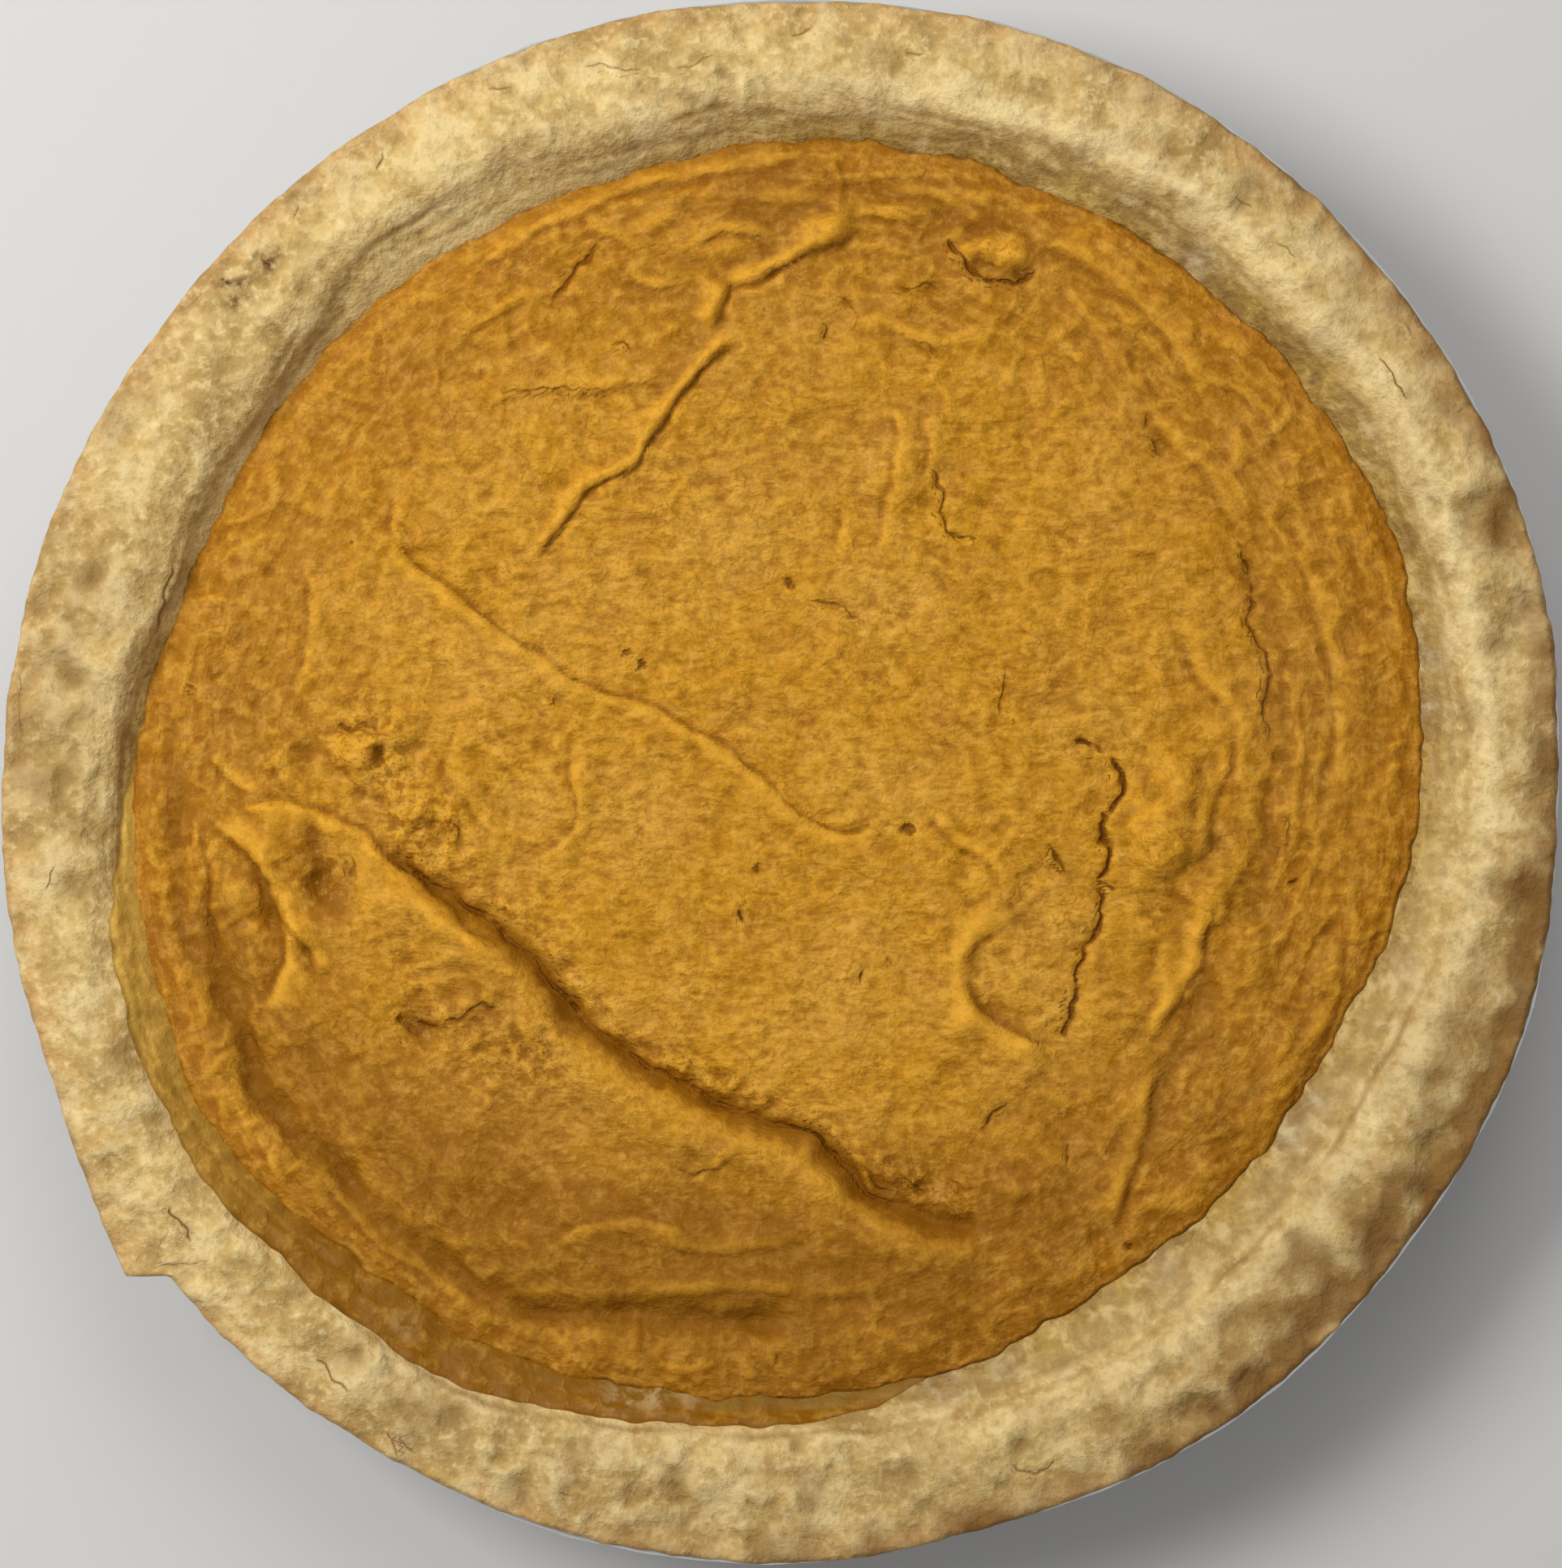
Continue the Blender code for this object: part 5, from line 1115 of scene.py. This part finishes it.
# Pale lilac streaks painted on the wet film as a painted reflection: x, y, strength, reach
SMEAR_GLINTS = [(-25.5, -96.6, 0.9, 2.2), (-20.5, -96.4, 1, 2.4), (-15, -96, 0.9, 2.2), (-60, -85, 0.5, 2)]
columns = np.flatnonzero((azimuth > SMEAR_FROM) & (azimuth < SMEAR_TO))
rows = int(np.ceil(station_share[RIM_STATION] * (CRUST_ROWS - 1)))
film_r, film_x, film_y, film_z = (values[:rows, columns] for values in (r, x, y, z))
brim = brim[columns]
along = (azimuth[columns] - SMEAR_FROM) / (SMEAR_TO - SMEAR_FROM)
taper = held(np.minimum((along - 0.04) / 0.16, (0.98 - along) / 0.09))
reach_up = fold[columns] - brim + 0.7 - 1.4 * held((along - 0.5) / 0.12)
shore = brim + taper * reach_up - 0.7 + grains(film_x, film_y, SHORE_WANDER)
thick = np.clip((shore - film_r) / 1.2, -1.0, 1.0) * SMEAR_THICKNESS
thick = thick * (1.0 + 0.9 * grain(film_x, film_y, 4.0, 92))
levels = (film_z + thick, film_z - SMEAR_SUNK - SMEAR_THICKNESS)
points = np.vstack([np.column_stack((film_x.ravel(), film_y.ravel(), level.ravel())) for level in levels])
numbers = np.arange(film_r.size).reshape(film_r.shape)
under_side = sheet_faces(numbers)
border = sheet_border(numbers)
faces = [under_side[:, ::-1], under_side + film_r.size, ring_faces(border, border + film_r.size)]
inner = held((brim + 2.2 + 2.4 * grain(film_x, film_y, 6.0, 94) - film_r) / 1.6)
marks = {
    "thick": thick, "glint": held(bells(film_x, film_y, SMEAR_GLINTS)),
    # The deep mark runs from the film's pale left end, whose pale colour is partly painted light against the
    # shade of the wall, to dark gold further round.
    "deep": np.broadcast_to(held((along - 0.12) / 0.35), film_r.shape),
    "inner": inner * np.clip((along - 0.62) / 0.16, 0.12, 1.0)}
marks = {name: np.tile(values.ravel(), 2) for name, values in marks.items()}
smear = mesh_piece("filling_smear", points, faces, marks)

SMEAR_GOLD = colour(142, 92, 0)
SMEAR_DARK = colour(110, 68, 0)
SMEAR_PALE = colour(244, 198, 92)
SMEAR_REFLECTION = colour(176, 144, 94)
SMEAR_OLIVE = colour(136, 104, 44)
graph, shader = new_material(smear, "wet_smear")
mottle = graph.place().warped(3.0, 2.5).noise(2.6, 3.0, 0.6)
deep = graph.mark("deep")
base = graph.coloured(SMEAR_PALE, [
    (SMEAR_GOLD, deep),
    (SMEAR_DARK, mottle.fall(0.34, 0.60) * 0.35),
    (SMEAR_PALE, mottle.clamp(0.52, 0.72) * (0.6 - deep * 0.4)),
    (SMEAR_OLIVE, graph.mark("inner") * mottle.clamp(0.3, 0.5) * 0.85),
    # Painted reflection on the wet film.
    (SMEAR_REFLECTION, graph.mark("glint") * mottle.clamp(0.42, 0.56)),
    # Darker at the film's thin edge: partly the film's own dark rim, partly painted shadow of the crust's
    # fold.
    (SMEAR_DARK, graph.mark("thick").fall(0.02, 0.16) * 0.6)])
graph.feed(shader, {
    "Base Color": base, "Roughness": 0.45, "Normal": mottle.bumps(0.0005), "Specular IOR Level": 0.22})
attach(smear, "root")


# The pan: thin aluminium foil, pressed into a round dish. Its side has gathered into shallow upright pleats,
# and its edge is rolled over into a bead, which shows as a thin bright line past the crust.
PAN_ROUND = 1080
PAN_PLEATS = 90
PLEAT_DEPTH = 0.3
FOIL_WALL = 0.5
PAN_FLANGE_HEIGHT = 31.3
PAN_RIM_RADIUS = 122.5
BEAD_RADIUS = 1.5
BEAD_TURNS = (-150.0, 150.0, 13)
PAN_RIM = [
    (0, 122.3), (20, 124.2), (40, 124.7), (60, 125.2), (70, 125), (80, 124.2), (95, 123.4), (112, 122.9),
    (130, 121.2), (150, 121), (170, 121.3), (190, 122.4), (205, 122.8), (225, 122.7), (240, 123.1),
    (250, 123.4), (262, 123.2), (272, 122.9), (284, 121), (292, 122.1), (300, 122.7), (310, 123),
    (320, 122.5), (330, 122.8), (342, 123.5), (350, 122.7)]
# The pan's side from its middle out: radius, height, share of the pleats
PAN_OUTSIDE = [
    (80, 0, 0), (86.6, 0, 0), (87.6, 0.35, 0.1), (88.6, 1.6, 0.5), (93, 7.5, 1), (98.8, 15.2, 1),
    (104, 22.2, 1), (107.6, 27, 0.8), (109, 28.9, 0.5), (110.2, 30.1, 0.3), (112.2, 30.7, 0.2)]

azimuth = np.linspace(0.0, 360.0, PAN_ROUND, endpoint=False)
angle = np.radians(azimuth)
around = (120.0 * np.cos(angle), 120.0 * np.sin(angle))
bend = ring_radius(azimuth, PAN_RIM) - PAN_RIM_RADIUS
pleat = PLEAT_DEPTH * np.cos(PAN_PLEATS * angle + 2.0 * grain(*around, 20.0, 81))
pleat = pleat * (0.8 + 0.6 * grain(*around, 9.0, 82))
dint = 0.25 * grain(*around, 6.0, 83)
bead = PAN_RIM_RADIUS - BEAD_RADIUS + bend + dint
bead_height = PAN_FLANGE_HEIGHT - BEAD_RADIUS + 0.4 + 0.6 * dint
under = PAN_FLANGE_HEIGHT - FOIL_WALL
lip = PAN_FLANGE_HEIGHT - 0.05
# The profile from the middle of the base up the outside, round the bead, and back down the inside
profile = [(radius - 0.3 + part * pleat, level) for radius, level, part in PAN_OUTSIDE]
profile += [(115.0 + 0.6 * bend, under), (118.4 + bend, under - 0.2)]
for turn in np.radians(np.linspace(*BEAD_TURNS)):
    profile.append((bead + BEAD_RADIUS * np.cos(turn), bead_height + BEAD_RADIUS * np.sin(turn)))
profile += [(118.6 + bend, lip), (113.0 + 0.4 * bend, lip), (110.0, 30.2), (108.2, 28.9), (87.9, 2.2),
            (86.2, FOIL_WALL)]
radius, level = profile[0]
ring = np.arange(1, PAN_ROUND + 1)
points = np.vstack(((0.0, 0.0, 0.0), on_ring(radius, angle, level)))
faces = [np.column_stack((np.roll(ring, -1), ring, np.zeros(PAN_ROUND, dtype=int)))]
points = closed_by_rings(points, faces, ring, angle, profile[1:], FOIL_WALL, False)
tin = mesh_piece("foil_tin", points, faces)

FOIL_BRIGHT = colour(226, 228, 230)
FOIL_DULL = colour(188, 190, 194)
graph, shader = new_material(tin, "bright_foil")
scuff = graph.place().warped(8.0, 6.0).noise(12.0, 5.0, 0.6)
graph.feed(shader, {
    "Base Color": graph.coloured(FOIL_BRIGHT, [(FOIL_DULL, scuff.clamp(0.4, 0.65) * 0.6)]), "Metallic": 1.0,
    "Roughness": 0.24 + scuff.clamp(0.35, 0.7) * 0.18, "Normal": scuff.bumps(0.0003)})
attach(tin, "root")
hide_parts("foil_pan")


# The floor and the light: a plain pale floor, one soft light low on the left, which shades the crust's left
# wall and lights its right one, a second from the top of the picture, and a weak even light from everywhere.
FLOOR_REACH = 3.0
FLOOR_GREY = (0.62, 0.61, 0.59, 1.0)
WHITE = (1.0, 1.0, 1.0, 1.0)
ROOM_LIGHT = 0.34
# Lights: name, place, side of the square in metres, watts
LIGHTS = [("key", (-0.50, 0.20, 0.72), 0.36, 5.0), ("top", (0.02, 0.55, 0.70), 0.5, 2.2)]

floor_mesh = bpy.data.meshes.new("floor")
floor_corners = [(FLOOR_REACH * i, FLOOR_REACH * j, 0.0) for i, j in ((-1, -1), (1, -1), (1, 1), (-1, 1))]
floor_mesh.from_pydata(floor_corners, [], [(0, 1, 2, 3)])
floor = bpy.data.objects.new("floor", floor_mesh)
bpy.context.scene.collection.objects.link(floor)
graph, shader = new_material(floor, "pale_floor")
graph.feed(shader, {"Base Color": FLOOR_GREY, "Roughness": 0.8})

for name, spot, size, power in LIGHTS:
    lamp = bpy.data.lights.new(name, "AREA")
    lamp.size = size
    lamp.energy = power
    lamp_object = bpy.data.objects.new(name, lamp)
    lamp_object.location = spot
    lamp_object.rotation_euler = (-Vector(spot)).to_track_quat("-Z", "Y").to_euler()
    bpy.context.scene.collection.objects.link(lamp_object)
world = bpy.data.worlds.new("room")
world.use_nodes = True
world.node_tree.nodes["Background"].inputs["Color"].default_value = WHITE
world.node_tree.nodes["Background"].inputs["Strength"].default_value = ROOM_LIGHT
bpy.context.scene.world = world
bpy.context.scene.view_settings.view_transform = "Standard"
